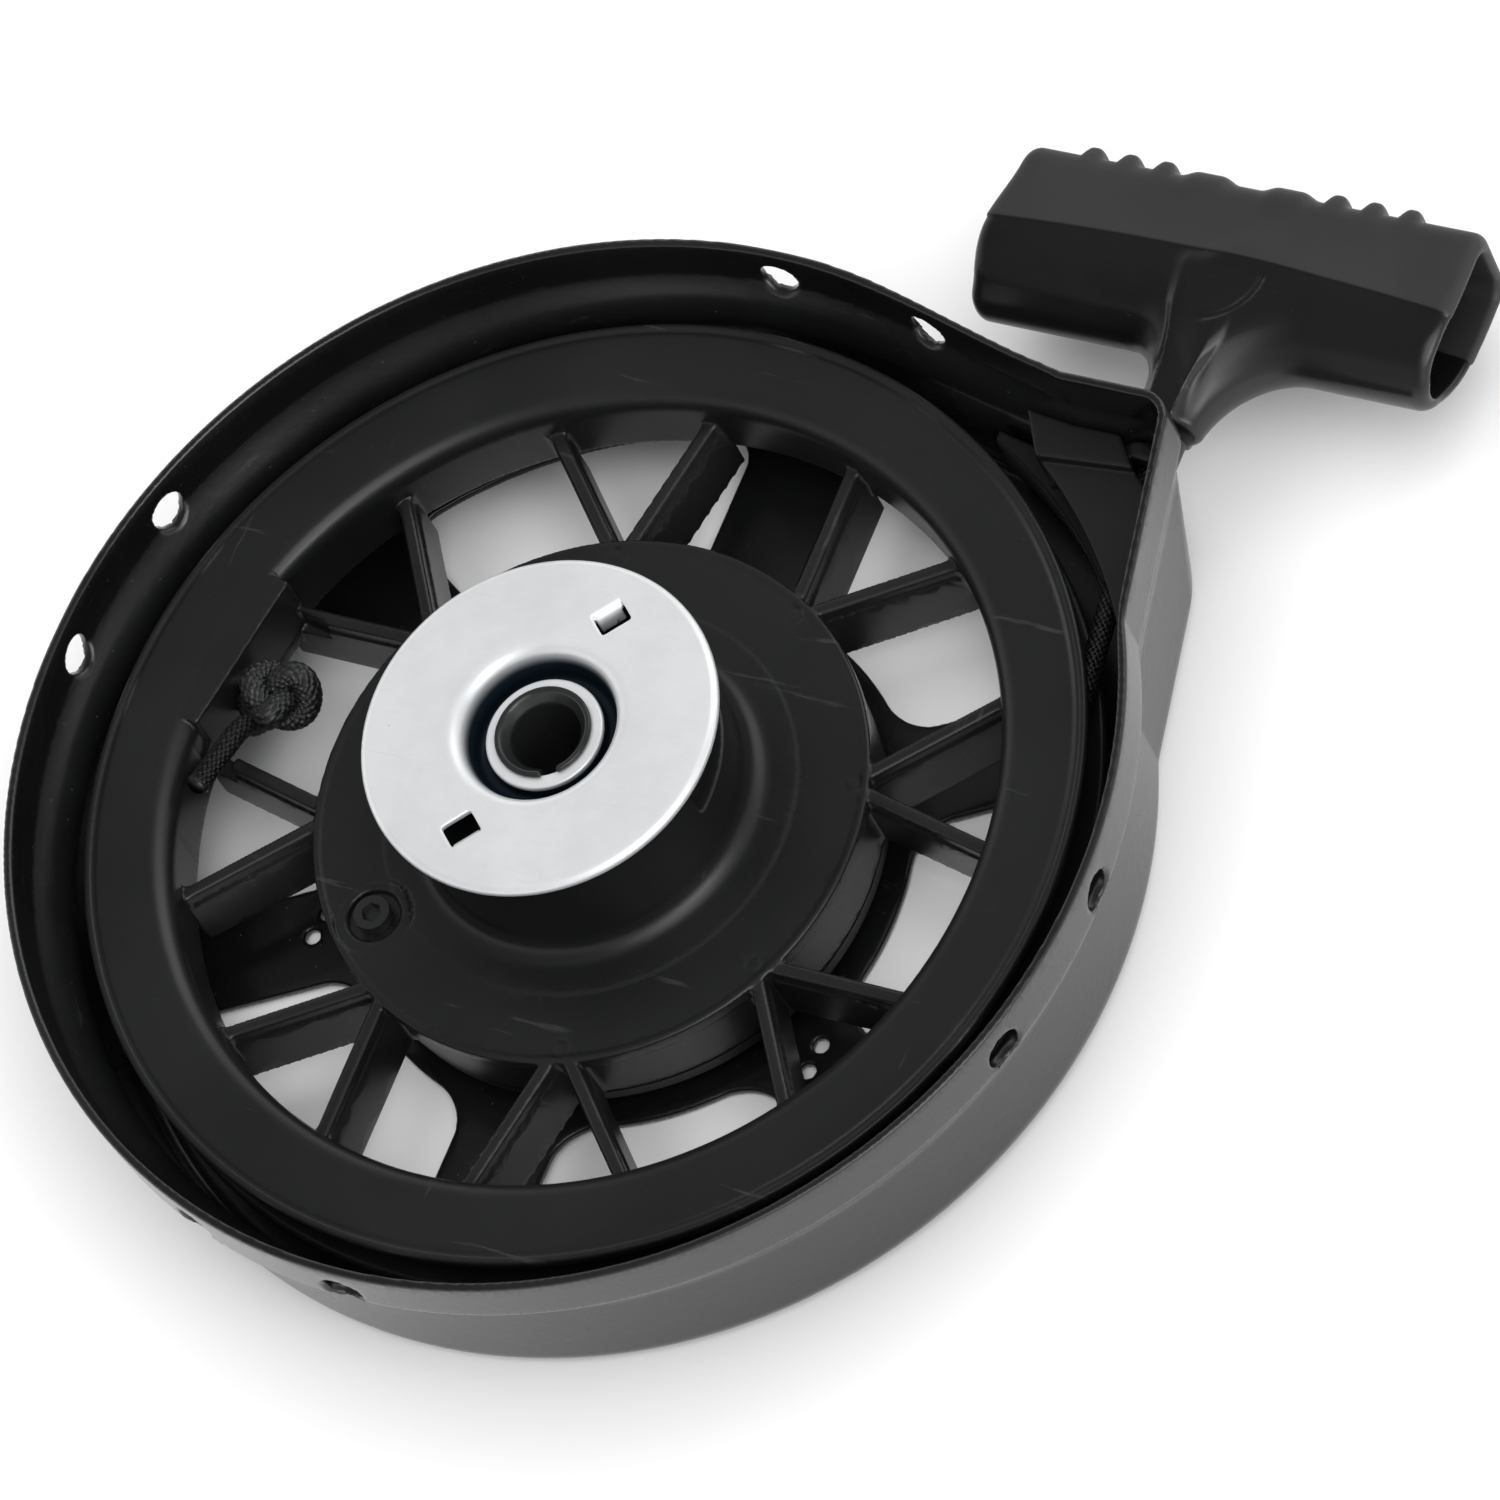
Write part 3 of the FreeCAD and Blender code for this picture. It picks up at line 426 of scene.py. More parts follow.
def gripped(name, level, rough, grain):
    """Grip plastic: a matt, finely textured front half and a glossier back half."""
    f = Finish(name)
    place = f.node("ShaderNodeSeparateXYZ")
    f.feed(place.inputs[0], f.place)
    bow = f.math("MULTIPLY", f.math("SUBTRACT", place.outputs["X"], (GRIP_X - BOW_SHIFT) * MM),
                 1 / (BOW_HALF * MM))
    line = f.math("MULTIPLY", f.math("MULTIPLY", bow, bow), -BOW_DEPTH * MM)
    middle = (GRIP_LINE + BOW_DEPTH - BOW_DROP) * MM
    ahead = f.math("SUBTRACT", f.math("SUBTRACT", place.outputs["Y"], middle), line)
    front = f.spread(ahead, -0.0002, 0.0002)
    cloud = f.noise(34, 5)
    nick = f.spread(f.noise(70, 7, 0.66, f.stretch((1.0, 5.0, 2.0))), 0.69, 0.74)
    dust = f.spread(f.cells(430), 0.0, 0.07, 1.0, 0.0)
    back_colour = f.blend(f.spread(cloud, 0.3, 0.72), grey(level * 0.35, 0.03), grey(level * 0.6, 0.03))
    front_colour = f.blend(f.spread(cloud, 0.3, 0.72), grey(level * 2.1, 0.0), grey(level * 2.7, 0.0))
    base = f.blend(front, back_colour, front_colour)
    base = f.blend(f.math("MULTIPLY", nick, 0.10), base, grey(0.25))
    base = f.blend(f.math("MULTIPLY", dust, 0.07), base, grey(0.30))
    gloss = f.math("ADD", f.spread(cloud, 0.3, 0.7, rough - 0.03, rough + 0.05),
                   f.math("MULTIPLY", front, 0.24))
    coarse = f.math("MULTIPLY", f.noise(1500, 3), f.math("ADD", 0.35, f.math("MULTIPLY", front, 0.65)))
    normal = f.bump(coarse, grain)
    return f.done(base, f.math("ADD", gloss, f.math("MULTIPLY", nick, 0.1)), normal)


# Dark blue painted into the retainer's well as painted shade.
PAINTED_WELL_SHADE_BLUE = (0.007, 0.014, 0.022)


def plated(name, level, tint, rough, metallic=1.0, shaded_well=None):
    """Zinc-plated or bare steel: streaks, spangle and stains; a well given as (radius, top, bottom) gets painted
    shade, dark blue inside the radius and deepening from top to bottom.
    """
    f = Finish(name)
    cloud = f.noise(48, 6, 0.6)
    spangle = f.cells(520)
    streak = f.noise(120, 5, 0.6, f.stretch((1.0, 12.0, 1.0)))
    base = f.blend(f.spread(cloud, 0.34, 0.70), grey(level, tint), grey(level * 0.86, tint * 1.6))
    base = f.blend(f.spread(streak, 0.55, 0.8, 0.0, 0.25), base, grey(level * 0.7, tint))
    if shaded_well is not None:
        radius, top, bottom = shaded_well
        place = f.node("ShaderNodeSeparateXYZ")
        f.feed(place.inputs[0], f.place)
        out = f.math("SQRT", f.math("ADD", f.math("MULTIPLY", place.outputs["X"], place.outputs["X"]),
                                    f.math("MULTIPLY", place.outputs["Y"], place.outputs["Y"])))
        depth = f.math("MULTIPLY", place.outputs["Z"], -1.0)
        # Painted shade: full inside the radius, growing from the top height down to the bottom height.
        painted_well_shade = f.math("MULTIPLY", f.spread(out, radius * MM, (radius + 0.6) * MM, 1.0, 0.0),
                      f.spread(depth, -top * MM, -bottom * MM))
        base = f.blend(painted_well_shade, base, PAINTED_WELL_SHADE_BLUE)
    gloss = f.math("ADD", f.spread(cloud, 0.3, 0.75, rough, rough + 0.12),
                   f.math("MULTIPLY", f.spread(streak, 0.4, 0.8), 0.08))
    normal = f.bump(streak, 0.012)
    normal = f.bump(spangle, 0.008, 1.0, normal)
    return f.done(base, gloss, normal, Metallic=metallic)


def braided(name, level):
    """Braided synthetic rope: fibres and fuzz on the strands, painted shade in the gaps between strands, and
    specular turned down in the gaps and full on the crowns.
    """
    f = Finish(name)
    crown = f.node("ShaderNodeVertexColor", layer_name="crown").outputs["Color"]
    # 0 in the gaps between strands, 1 on the crowns; it mixes the strand colour with the painted shade of the
    # gaps.
    top = f.spread(crown, 0.45, 1.0)
    fibre = f.noise(900, 6, 0.7)
    tuft = f.noise(260, 4)
    strand = f.blend(f.spread(fibre, 0.35, 0.7), grey(level, 0.04), grey(level * 3.2, 0.05))
    strand = f.blend(f.spread(tuft, 0.55, 0.8, 0.0, 0.5), strand, grey(level * 5.0, 0.03))
    # Painted shade: the gaps between strands get a near-black grey.
    base = f.blend(top, grey(level * 0.15, 0.04), strand)
    f.feed(f.shader.inputs["Specular IOR Level"], f.spread(crown, 0.55, 1.0, 0.03, 0.75))
    normal = f.bump(fibre, 0.10)
    return f.done(base, f.spread(fibre, 0.3, 0.7, 0.24, 0.46), normal)


GRIP_LOW, GRIP_HIGH = corners("handle_grip")
GRIP_X = (GRIP_LOW[0] + GRIP_HIGH[0]) / 2
GRIP_LINE = 107.0
BOW_DEPTH, BOW_DROP, BOW_SHIFT, BOW_HALF = 2.6, 0.6, 6, 46

FINISHES = {
    "housing_paint": painted("black_gloss_paint", 0.0045, 0.24, 0.030),
    "pulley_plastic": moulded("satin_black_nylon", 0.0068, 0.33, 0.020),
    "guide_plastic": moulded("satin_black_guide", 0.0060, 0.40, 0.018),
    "grip_plastic": gripped("black_grip_rubber", 0.0085, 0.25, 0.030),
    "zinc_plate": plated("bright_zinc_plate", 0.86, 0.012, 0.27, 0.5),
    # The last value is the well that gets painted shade: radius 13.4, top 45.5, bottom 42.3.
    "drawn_plate": plated("drawn_zinc_plate", 0.84, 0.014, 0.27, 0.5, (13.4, 45.5, 42.3)),
    "black_oxide": plated("black_oxide_steel", 0.016, 0.03, 0.16, 0.0),
    "spring_steel": plated("blued_spring_steel", 0.34, 0.03, 0.28),
    "post_steel": plated("turned_steel", 0.50, 0.01, 0.24),
    "dog_metal": plated("sintered_dog_steel", 0.20, 0.02, 0.42),
    "rope_fabric": braided("braided_black_cord", 0.0055),
}


def finish(obj, look):
    """Give an object one of the finishes."""
    obj.data.materials.clear()
    obj.data.materials.append(FINISHES[look])
    return obj


def piece(obj, slot, body, *replaced):
    """Give a new piece its finish and its body, and hide the CAD nodes it stands for."""
    finish(obj, slot)
    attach(obj, body)
    if replaced:
        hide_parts(*replaced)
    return obj


# ---------------------------------------------------------------------- housing
ROPE_LOW, ROPE_HIGH = corners("rope_pull")
ROPE_X = (ROPE_LOW[0] + ROPE_HIGH[0]) / 2
ROPE_Z = (ROPE_LOW[2] + ROPE_HIGH[2]) / 2
ROPE_R = 1.8
EXIT_RADIUS, EXIT_START = 4.0, 68
RIM, DEPTH = -corners("housing_skirt")[0][0], corners("housing_skirt")[1][2]
GAUGE = 1.5
BACK = 85.6
JOG = (20.0, 28.6)
NOSE_REACH = 79.5
NOSE_CORNER = 4.5
NOSE_LEAN = math.radians(10.65)
NOSE_CHORD = (2.3, 3.85)
HOLE_ANGLES = [81.5 + 90 * k + side * 9.0 for k in range(4) for side in (-1, 1)]
HOLE_HEIGHT, HOLE_RADIUS, HOLE_START = 30.7, 3.2, 60
ARM_COUNT, ARM_HALF = 6, 8.5
WINDOW_INNER, WINDOW_OUTER, WINDOW_CORNER = 46.5, 75.0, 6.0
POST_HOLE = 9.05
PEG_HOLES, PEG_RADIUS = ((43.0, -27.2), (43.4, -22.6), (-45.4, -26.0), (-44.6, -21.6)), 1.3
BACK_ZONE = 6


def nose_plan(x, y, radius, chord, reach, corner):
    """Plan distance from the skirt: a circle whose nose has its side wall a chord inside the tangent."""
    circle = np.hypot(x, y) - radius
    side = x * math.cos(NOSE_LEAN) + y * math.sin(NOSE_LEAN) - radius + chord
    nose = common(y - reach, side, corner)
    nose = np.maximum(nose, np.maximum(-x, x * math.sin(NOSE_LEAN) - y * math.cos(NOSE_LEAN)))
    return joined(circle, nose, 8.0 * ramp(-x, -62, -50) * ramp(y, 40, 60) + 1e-3)


def skirt_plan(x, y, z, inset=0.0):
    """Plan distance from the skirt at each height: its flare is soft below and crisp above."""
    heel = NOSE_CORNER + 0.7 * np.clip(JOG[0] - z, 0, JOG[0])
    low = nose_plan(x, y, BACK - inset, NOSE_CHORD[0], NOSE_REACH - inset - (RIM - BACK) / 2, heel)
    high = nose_plan(x, y, RIM - inset, NOSE_CHORD[1], NOSE_REACH - inset, NOSE_CORNER)
    share = np.clip((z - JOG[0]) / (JOG[1] - JOG[0]), 0, 1)
    return low + (high - low) * share * share * (2 - share)


def housing(x, y, z):
    plan = skirt_plan(x, y, z)
    room = skirt_plan(x, y, z - 0.7)
    shell = np.maximum(common(plan, -z, 4.0), -common(room + GAUGE, GAUGE - z, 2.6))
    shell = common(shell, z - DEPTH, 0.5)
    r = np.hypot(x, y)
    half = math.pi / ARM_COUNT
    bearing = np.mod(np.arctan2(y, x) + half, 2 * half) - half
    u, v = r * np.cos(bearing), np.abs(r * np.sin(bearing))
    arm = ARM_HALF - (u * math.sin(half) - v * math.cos(half))
    window = common(common(r - WINDOW_OUTER, WINDOW_INNER - r, WINDOW_CORNER), arm, WINDOW_CORNER)
    shell = less(shell, np.maximum(window, z - BACK_ZONE), 0.5)
    shell = np.maximum(shell, POST_HOLE - r + 0 * z)
    for cx, cy in PEG_HOLES:
        shell = less(shell, np.maximum(np.hypot(x - cx, y - cy) - PEG_RADIUS, z - BACK_ZONE), 0.3)
    for angle in HOLE_ANGLES:
        out, across = turned_xy(x, y, angle)
        hole = np.maximum(np.hypot(across, z - HOLE_HEIGHT) - HOLE_RADIUS, HOLE_START - out)
        shell = less(shell, hole, 0.4)
    exit_hole = np.maximum(np.hypot(x - ROPE_X, z - ROPE_Z) - EXIT_RADIUS, EXIT_START - y)
    return less(shell, exit_hole, 0.5)


low, high = corners("housing_skirt")
low[2] = corners("housing_plate")[0][2]
piece(surface_of("drawn_housing", low, high, 0.6, housing, 0.45), "housing_paint", "housing",
      "housing_skirt", "housing_plate")

# ----------------------------------------------------------------------- pulley
DISC_TOP = 20.6
BOSS_BORE, BOSS_TOP = 22.8, 43.8
HUB_PROFILE = [
    (9.1, 4.6, 0.3), (12.2, 4.6, 0.5), (12.2, 30.2, 1.2), (22.8, 30.2, 1.2), (22.8, 18.2, 1.0),
    (41.4, 18.2, 1.0), (41.4, 7.0, 0.4), (43.6, 7.0, 0.4), (43.6, 18.2, 0.6), (45.0, 18.2, 0.3),
    (45.0, 20.95, 0.3), (43.9, 20.95, 0.3), (43.7, DISC_TOP, 0.2), (33.6, DISC_TOP, 0.1),
    (33.3, DISC_TOP + 0.25, 0.1), (25.9, DISC_TOP + 0.25, 5.6), (25.3, BOSS_TOP, 0.7),
    (BOSS_BORE, BOSS_TOP, 0.5), (BOSS_BORE, 32.6, 0.8), (12.2, 32.6, 0.8), (12.2, 34.55, 0.3), (9.1, 34.55, 0.3)]
RING_PROFILE = [
    (66.6, 13.6, 0.4), (80.6, 13.6, 0.6), (80.6, 16.2, 0.6), (68.8, 16.2, 0.8), (68.8, 24.4, 0.8),
    (80.6, 24.4, 0.6), (80.6, 26.6, 0.4), (79.7, 26.75, 0.2), (79.2, 26.35, 0.3), (78.5, 26.8, 0.5),
    (74.0, 27.0, 12.0), (66.6, 26.9, 5.4)]
DISC_EDGE, RIB_END = 44.0, 67.2
RIB_FAN = math.radians(11.25)
RIB_FOOT = np.array([44.4, 1.6])
RIB_TIP = RIB_END * np.array([math.cos(RIB_FAN), math.sin(RIB_FAN)])
RIB_HALF, RIB_BOTTOM, RIB_PAIRS, FIRST_PAIR = 1.05, 8.0, 8, 17.2
DOG_ANGLE, DOG_ORBIT, PIVOT_RADIUS = -8.0, 17.6, 2.35
DOG_WINDOW = ((12.6, 29.4, 8.0, 25.5), (19.6, 29.4, 0.6, 25.5))
POCKET_PLACE, POCKET_LEAN, POCKET_FLOOR = (-63.3, 8.0), -9.5, 16.2
KNOT_HOLE = (-66.4, 6.5, 20.3, 2.1)
SCREW_ANGLE, SCREW_ORBIT = -134.0, 37.7
EJECTOR_RADIUS = 42.2
EJECTOR_ANGLES = [FIRST_PAIR + 45 * k for k in (0, 1, 2, -1, -2)]
pulley_turned = lathe([HUB_PROFILE, RING_PROFILE], 86, 2, 48)


def pulley(x, y, z):
    r = np.hypot(x, y)
    body = pulley_turned(r, z)
    half = math.pi / RIB_PAIRS
    bearing = np.mod(np.arctan2(y, x) - math.radians(FIRST_PAIR) + half, 2 * half) - half
    u, v = r * np.cos(bearing), np.abs(r * np.sin(bearing))
    du, dv = RIB_TIP - RIB_FOOT
    length = math.hypot(du, dv)
    across = np.abs((u - RIB_FOOT[0]) * dv - (v - RIB_FOOT[1]) * du) / length
    rib = np.maximum(across - RIB_HALF, DISC_EDGE - 2 - u)
    inner = joined(r - DISC_EDGE, rib, 1.6)
    spokes = np.maximum(DISC_EDGE - 1 - r, r - RIB_END)
    web = common(np.maximum(inner, spokes), slab(z, RIB_BOTTOM, DISC_TOP), 0.35)
    step = np.maximum(np.maximum(across - RIB_HALF - 0.4, spokes), slab(z, RIB_BOTTOM, DISC_TOP - 2.4))
    whole = np.maximum(joined(inner, RIB_END - 0.3 - r, 1.6), DISC_EDGE - 1 - r)
    upper = common(np.maximum(whole, r - RIB_END - 0.2), slab(z, 13.9, DISC_TOP), 0.35)
    body = np.minimum(body, np.minimum(np.minimum(web, upper), step))
    for k in range(2):
        px, py = turned_xy(x, y, DOG_ANGLE + 180 * k)
        pivot = np.maximum(np.hypot(px - DOG_ORBIT, py) - PIVOT_RADIUS, slab(z, 32.0, 40.9))
        body = np.minimum(body, pivot)
        gap = 1e9
        for west, east, south, north in DOG_WINDOW:
            gap = np.minimum(gap, np.maximum(slab(px, west, east), slab(py, south, north)))
        body = less(body, np.maximum(gap, slab(z, 33.0, 50.0)), 0.4)
    out, along = turned_xy(x - POCKET_PLACE[0], y - POCKET_PLACE[1], POCKET_LEAN)
    ledge = np.maximum(np.maximum(slab(out, -6.0, 0.0), slab(along, -14.0, 13.2)), r - 69.0)
    body = np.minimum(body, common(ledge, slab(z, 14.0, 26.75), 0.25))
    pocket = np.maximum(slab(out, 0.0, 5.6), slab(along, -17.0, 11.6))
    body = less(body, np.maximum(pocket, slab(z, POCKET_FLOOR, 40.0)), 0.3)
    knot_x, knot_y, knot_z, knot_radius = KNOT_HOLE
    ex, ey = turned_xy(x, y, math.degrees(math.atan2(knot_y, knot_x)))
    body = less(body, np.maximum(np.hypot(ey, z - knot_z), 60 - ex) - knot_radius, 0.4)
    sx, sy = turned_xy(x, y, SCREW_ANGLE)
    screw = np.hypot(sx - SCREW_ORBIT, sy)
    body = less(body, np.maximum(screw - 4.3, 19.4 - z), 0.3)
    body = less(body, np.maximum(screw - 2.1, 7 - z), 0.1)
    ring = np.maximum(np.abs(screw - 6.2) - 0.25, DISC_TOP - 0.25 - z)
    body = less(body, ring, 0.05)
    for angle in EJECTOR_ANGLES:
        qx, qy = turned_xy(x, y, angle)
        mark = np.hypot(qx - EJECTOR_RADIUS, qy)
        body = less(body, np.maximum(np.abs(mark - 1.3) - 0.3, DISC_TOP - 0.2 - z), 0.05)
    return body


low, high = corners("pulley")
piece(surface_of("moulded_pulley", low, high, 0.5, pulley, 0.35), "pulley_plastic", "pulley", "pulley")

# --------------------------------------------------------------------- retainer
PLATE_TOP = corners("retainer")[1][2]
PLATE_PROFILE = [
    (12.7, PLATE_TOP, 2.6), (20.5, PLATE_TOP, 8.0), (27.6, PLATE_TOP - 0.35, 1.0),
    (28.45, PLATE_TOP - 1.0, 0.7), (28.45, PLATE_TOP - 2.0, 0.35), (27.5, PLATE_TOP - 2.0, 0.3),
    (27.3, PLATE_TOP - 1.5, 0.6),
    (20.5, PLATE_TOP - 1.2, 8.0), (14.5, PLATE_TOP - 1.2, 1.8), (13.0, PLATE_TOP - 4.6, 1.0),
    (12.7, 38.0, 1.6), (8.3, 38.0, 0.5), (8.3, 40.85, 0.35), (9.3, 40.85, 0.35), (9.3, 39.1, 0.6),
    (11.3, 39.1, 1.0), (11.5, PLATE_TOP - 4.4, 1.2)]
TAB_ORBIT, TAB_BEARING, TAB_LEAN = 20.2, 78.0, 49.3
TAB_HALF, SLOT_HALF = 2.35, 2.6
BEND_ACROSS, BEND_DROP, BEND_RADIUS, TAB_THIN = 2.5, 2.0, 1.35, 0.55
FAINT_RING = 20.6
plate_turned = lathe([PLATE_PROFILE], 32, 35, 48, 0.1)


def retainer(x, y, z):
    r = np.hypot(x, y)
    body = plate_turned(r, z)
    body = body + 0.035 * ramp(-np.abs(r - FAINT_RING), -1.2, -0.1) * (z > PLATE_TOP - 0.7)
    for k in range(2):
        cx, cy = turned_xy(TAB_ORBIT, 0, -TAB_BEARING - 180 * k)
        px, py = turned_xy(x - cx, y - cy, TAB_LEAN + 180 * k)
        hole = common(np.abs(px) - SLOT_HALF, slab(py, -2.4, 1.9), 0.5)
        body = less(body, np.maximum(hole, PLATE_TOP - 4 - z), 0.25)
        bend = np.hypot(py - BEND_ACROSS, z - (PLATE_TOP - BEND_DROP))
        arc = np.maximum(np.abs(bend - BEND_RADIUS) - TAB_THIN,
                         np.maximum(py - BEND_ACROSS - 0.05, PLATE_TOP - BEND_DROP - z))
        leg = np.maximum(np.abs(py - BEND_ACROSS + BEND_RADIUS) - TAB_THIN,
                         slab(z, PLATE_TOP - 3.9, PLATE_TOP - 1.9))
        tab = common(np.minimum(arc, leg), np.abs(px) - TAB_HALF, 0.3)
        tab = np.maximum(tab, np.minimum(r - BOSS_BORE + 0.5, BOSS_TOP + 0.4 - z))
        body = joined(body, tab, 0.4)
    return np.maximum(body, z - PLATE_TOP)


low, high = corners("retainer")
piece(surface_of("drawn_retainer", low, high, 0.3, retainer, 0.5), "drawn_plate", "retainer", "retainer")

# --------------------------------------------------------------- pin and washer
PIN_BASE, PIN_TOP = corners("spring_pin")[0][2], corners("spring_pin")[1][2]
WASHER_LOW, WASHER_HIGH = corners("top_washer")[0][2], corners("top_washer")[1][2]
PIN_BORE, PIN_SHANK, PIN_HEAD = 5.55, 7.0, 7.7
PIN_SLOT_ANGLE, PIN_SLOT_HALF = -59.0, 1.2
WASHER_INNER, WASHER_OUTER = 7.15, 9.4
PIN_PROFILE = [
    (PIN_BORE, PIN_BASE, 0.2), (6.4, PIN_BASE, 0.2), (PIN_SHANK, PIN_BASE + 0.8, 0.3),
    (PIN_SHANK, WASHER_HIGH + 0.05, 0.2), (PIN_HEAD, WASHER_HIGH + 0.05, 0.2), (PIN_HEAD, PIN_TOP, 0.45),
    (6.9, PIN_TOP, 0.8), (PIN_BORE, PIN_TOP - 1.9, 0.8)]
WASHER_PROFILE = [
    (WASHER_INNER, WASHER_LOW, 0.2), (WASHER_OUTER, WASHER_LOW, 0.35), (WASHER_OUTER, WASHER_HIGH, 0.4),
    (WASHER_INNER, WASHER_HIGH, 0.2)]
pin_turned = lathe([PIN_PROFILE], 12, 6, 46, 0.1)
washer_turned = lathe([WASHER_PROFILE], 12, 38, 45, 0.1)


def pin(x, y, z):
    sx, sy = turned_xy(x, y, PIN_SLOT_ANGLE)
    slot = np.maximum(np.abs(sy) - PIN_SLOT_HALF, -sx + 0 * z)
    return less(pin_turned(np.hypot(x, y), z), slot, 0.45)


def washer(x, y, z):
    return washer_turned(np.hypot(x, y), z)


low, high = corners("spring_pin")
piece(surface_of("rolled_pin", low, high, 0.25, pin, 0.5), "black_oxide", "housing", "spring_pin")
low, high = corners("top_washer")
piece(surface_of("plain_washer", low, high, 0.25, washer, 0.6), "zinc_plate", "housing", "top_washer")

# ----------------------------------------------------------------------- handle
GRIP_HALF, GRIP_FRONT, GRIP_BACK, GRIP_THICK, GRIP_CORNER, GRIP_WALL = 40.0, 15.0, 13.0, 8.8, 4.0, 2.6
TEETH, FIRST_TOOTH, TOOTH_PITCH, TOOTH_HEIGHT = 3, 14.6, 6.2, 1.6
STEM_START, STEM_RUN = 81.2, 19.8
GATE = (-1.0, -0.5, 9.5)
HOLLOW_START = 9.0
BORE_RADIUS, SEAT_RADIUS, SEAT_LOW, SEAT_HIGH = 2.05, 4.45, 101, 117


def grip_section(y, z, inset):
    """Section of the grip: a straight-sided front and a rounded back, moved in by inset."""
    front, back, half = GRIP_FRONT - inset, GRIP_BACK - inset, GRIP_THICK - inset
    corner = GRIP_CORNER - inset / 2
    straight = common(np.abs(z) - half, y - front, corner)
    curved = (np.hypot(y / back, z / half) - 1) * half
    return np.where(y > 0, straight, curved)


def part_line(gx):
    """Where the matt front of the grip meets its glossy back, bowed towards the front."""
    return BOW_DEPTH * (1 - ((gx + BOW_SHIFT) / BOW_HALF) ** 2) - BOW_DROP


def grip(x, y, z):
    gx, gy, gz = x - GRIP_X, y - GRIP_LINE, z - ROPE_Z
    parting = gy - part_line(gx)
    skin = grip_section(gy, gz, 0.0) + 0.40 * ramp(-parting, -0.25, 0.25) * ramp(np.abs(gz), 2, 5)
    far = np.abs(gx)
    hump = 1.0 * ramp(-np.abs(far - 6.8), -5.0, -1.8)
    bumps = np.zeros_like(gx)
    for k in range(TEETH):
        off = np.maximum(np.abs(far - FIRST_TOOTH - TOOTH_PITCH * k) - 0.4, 0)
        bumps = np.maximum(bumps, TOOTH_HEIGHT - 0.74 * off ** 2)
    bumps = np.maximum(bumps, 0) * ramp(-np.abs(gz), -8.4, -6.8)
    skin = skin - (bumps + hump) * ramp(gy, 9, 13)
    rounding = 2.4 + 1.6 * ramp(-gy, -8, 10)
    left = -gx - GRIP_HALF - 0.8 * ramp(-gy, -9, 5) + 2.2 * ramp(gy, -2, 14)
    body = common(skin, np.maximum(gx - GRIP_HALF, left), rounding)
    travel = np.clip((y - STEM_START) / STEM_RUN, 0, 1.0)
    wide, tall = 5.4 + 3.0 * travel ** 2, 4.9 + 1.6 * travel
    stem = (np.hypot((x - ROPE_X) / wide, gz / tall) - 1) * tall
    rib = np.maximum(np.abs(x - ROPE_X) - 2.3 - 0.8 * travel, np.abs(gz) - 5.6 - 2.2 * travel)
    stem = joined(stem, rib, 1.6)
    stem = common(common(stem, STEM_START - y, 0.9), y - GRIP_LINE + 1.0, 0.3)
    body = common(joined(body, stem, 4.0 + 7.0 * ramp(x - ROPE_X, -4, 6)), np.abs(gz) - GRIP_THICK, 1.5)
    gate = np.abs(np.hypot(gx - GATE[0], gy - GATE[1]) - GATE[2]) - 0.45
    body = less(body, np.maximum(np.maximum(gate, gy + 0.6), 8.45 - gz), 0.2)
    for side in (-1, 1):
        hollow = np.maximum(grip_section(gy, gz, GRIP_WALL), HOLLOW_START - side * (x - ROPE_X))
        body = less(body, hollow, 1.4)
    bore = np.maximum(np.hypot(x - ROPE_X, gz) - BORE_RADIUS, y - SEAT_LOW - 1)
    seat = np.maximum(np.hypot(x - ROPE_X, gz) - SEAT_RADIUS, slab(y, SEAT_LOW, SEAT_HIGH))
    return less(less(body, bore, 0.3), seat, 0.3)


piece(surface_of("moulded_grip", GRIP_LOW, GRIP_HIGH, 0.4, grip, 0.5), "grip_plastic", "handle",
      "handle_grip")

# ------------------------------------------------------------------------ ropes
STRANDS = 5
LAY = 2.55
CROWN = 0.58
COIL_ROWS = ((70.7, 18.5), (70.7, 22.1), (74.2, 22.1), (74.2, 18.5))
COIL_START, COIL_STEP, COIL_EASE = 44, 2, 15
KNOT_SPACING = 0.18
KNOT_SCALE, KNOT_STRETCH, KNOT_DEPTH, KNOT_SWELL = 1.68, 1.3, 2.4, 0.26
LEAD_START, LEAD_END = 24.0, 70.0


def plaited(along, around):
    """Surface radius of the braid: two families of strands, each over and under the other."""
    a = STRANDS * around + LAY * along
    b = STRANDS * around - LAY * along
    over = ramp(np.cos(a) * np.cos(b), -0.35, 0.35)
    crown = np.sqrt(np.abs(np.cos(a))) * over + np.sqrt(np.abs(np.cos(b))) * (1 - over)
    return ROPE_R - CROWN + CROWN * crown


def smooth_path(points, spacing):
    """Points along the NURBS through the given route."""
    curve = bpy.data.curves.new("route", "CURVE")
    curve.dimensions = "3D"
    spline = curve.splines.new("NURBS")
    spline.points.add(len(points) - 1)
    for slot_point, point in zip(spline.points, points):
        slot_point.co = (*point, 1.0)
    spline.order_u = 3
    spline.use_endpoint_u = True
    spline.resolution_u = 24
    obj = bpy.data.objects.new("route", curve)
    mesh = bpy.data.meshes.new_from_object(obj)
    dense = np.array([v.co for v in mesh.vertices])
    bpy.data.objects.remove(obj)
    bpy.data.meshes.remove(mesh)
    run = np.concatenate([[0], np.cumsum(np.linalg.norm(np.diff(dense, axis=0), axis=1))])
    steps = np.linspace(0, run[-1], max(2, int(run[-1] / spacing)))
    return np.stack([np.interp(steps, run, dense[:, i]) for i in range(3)], 1)


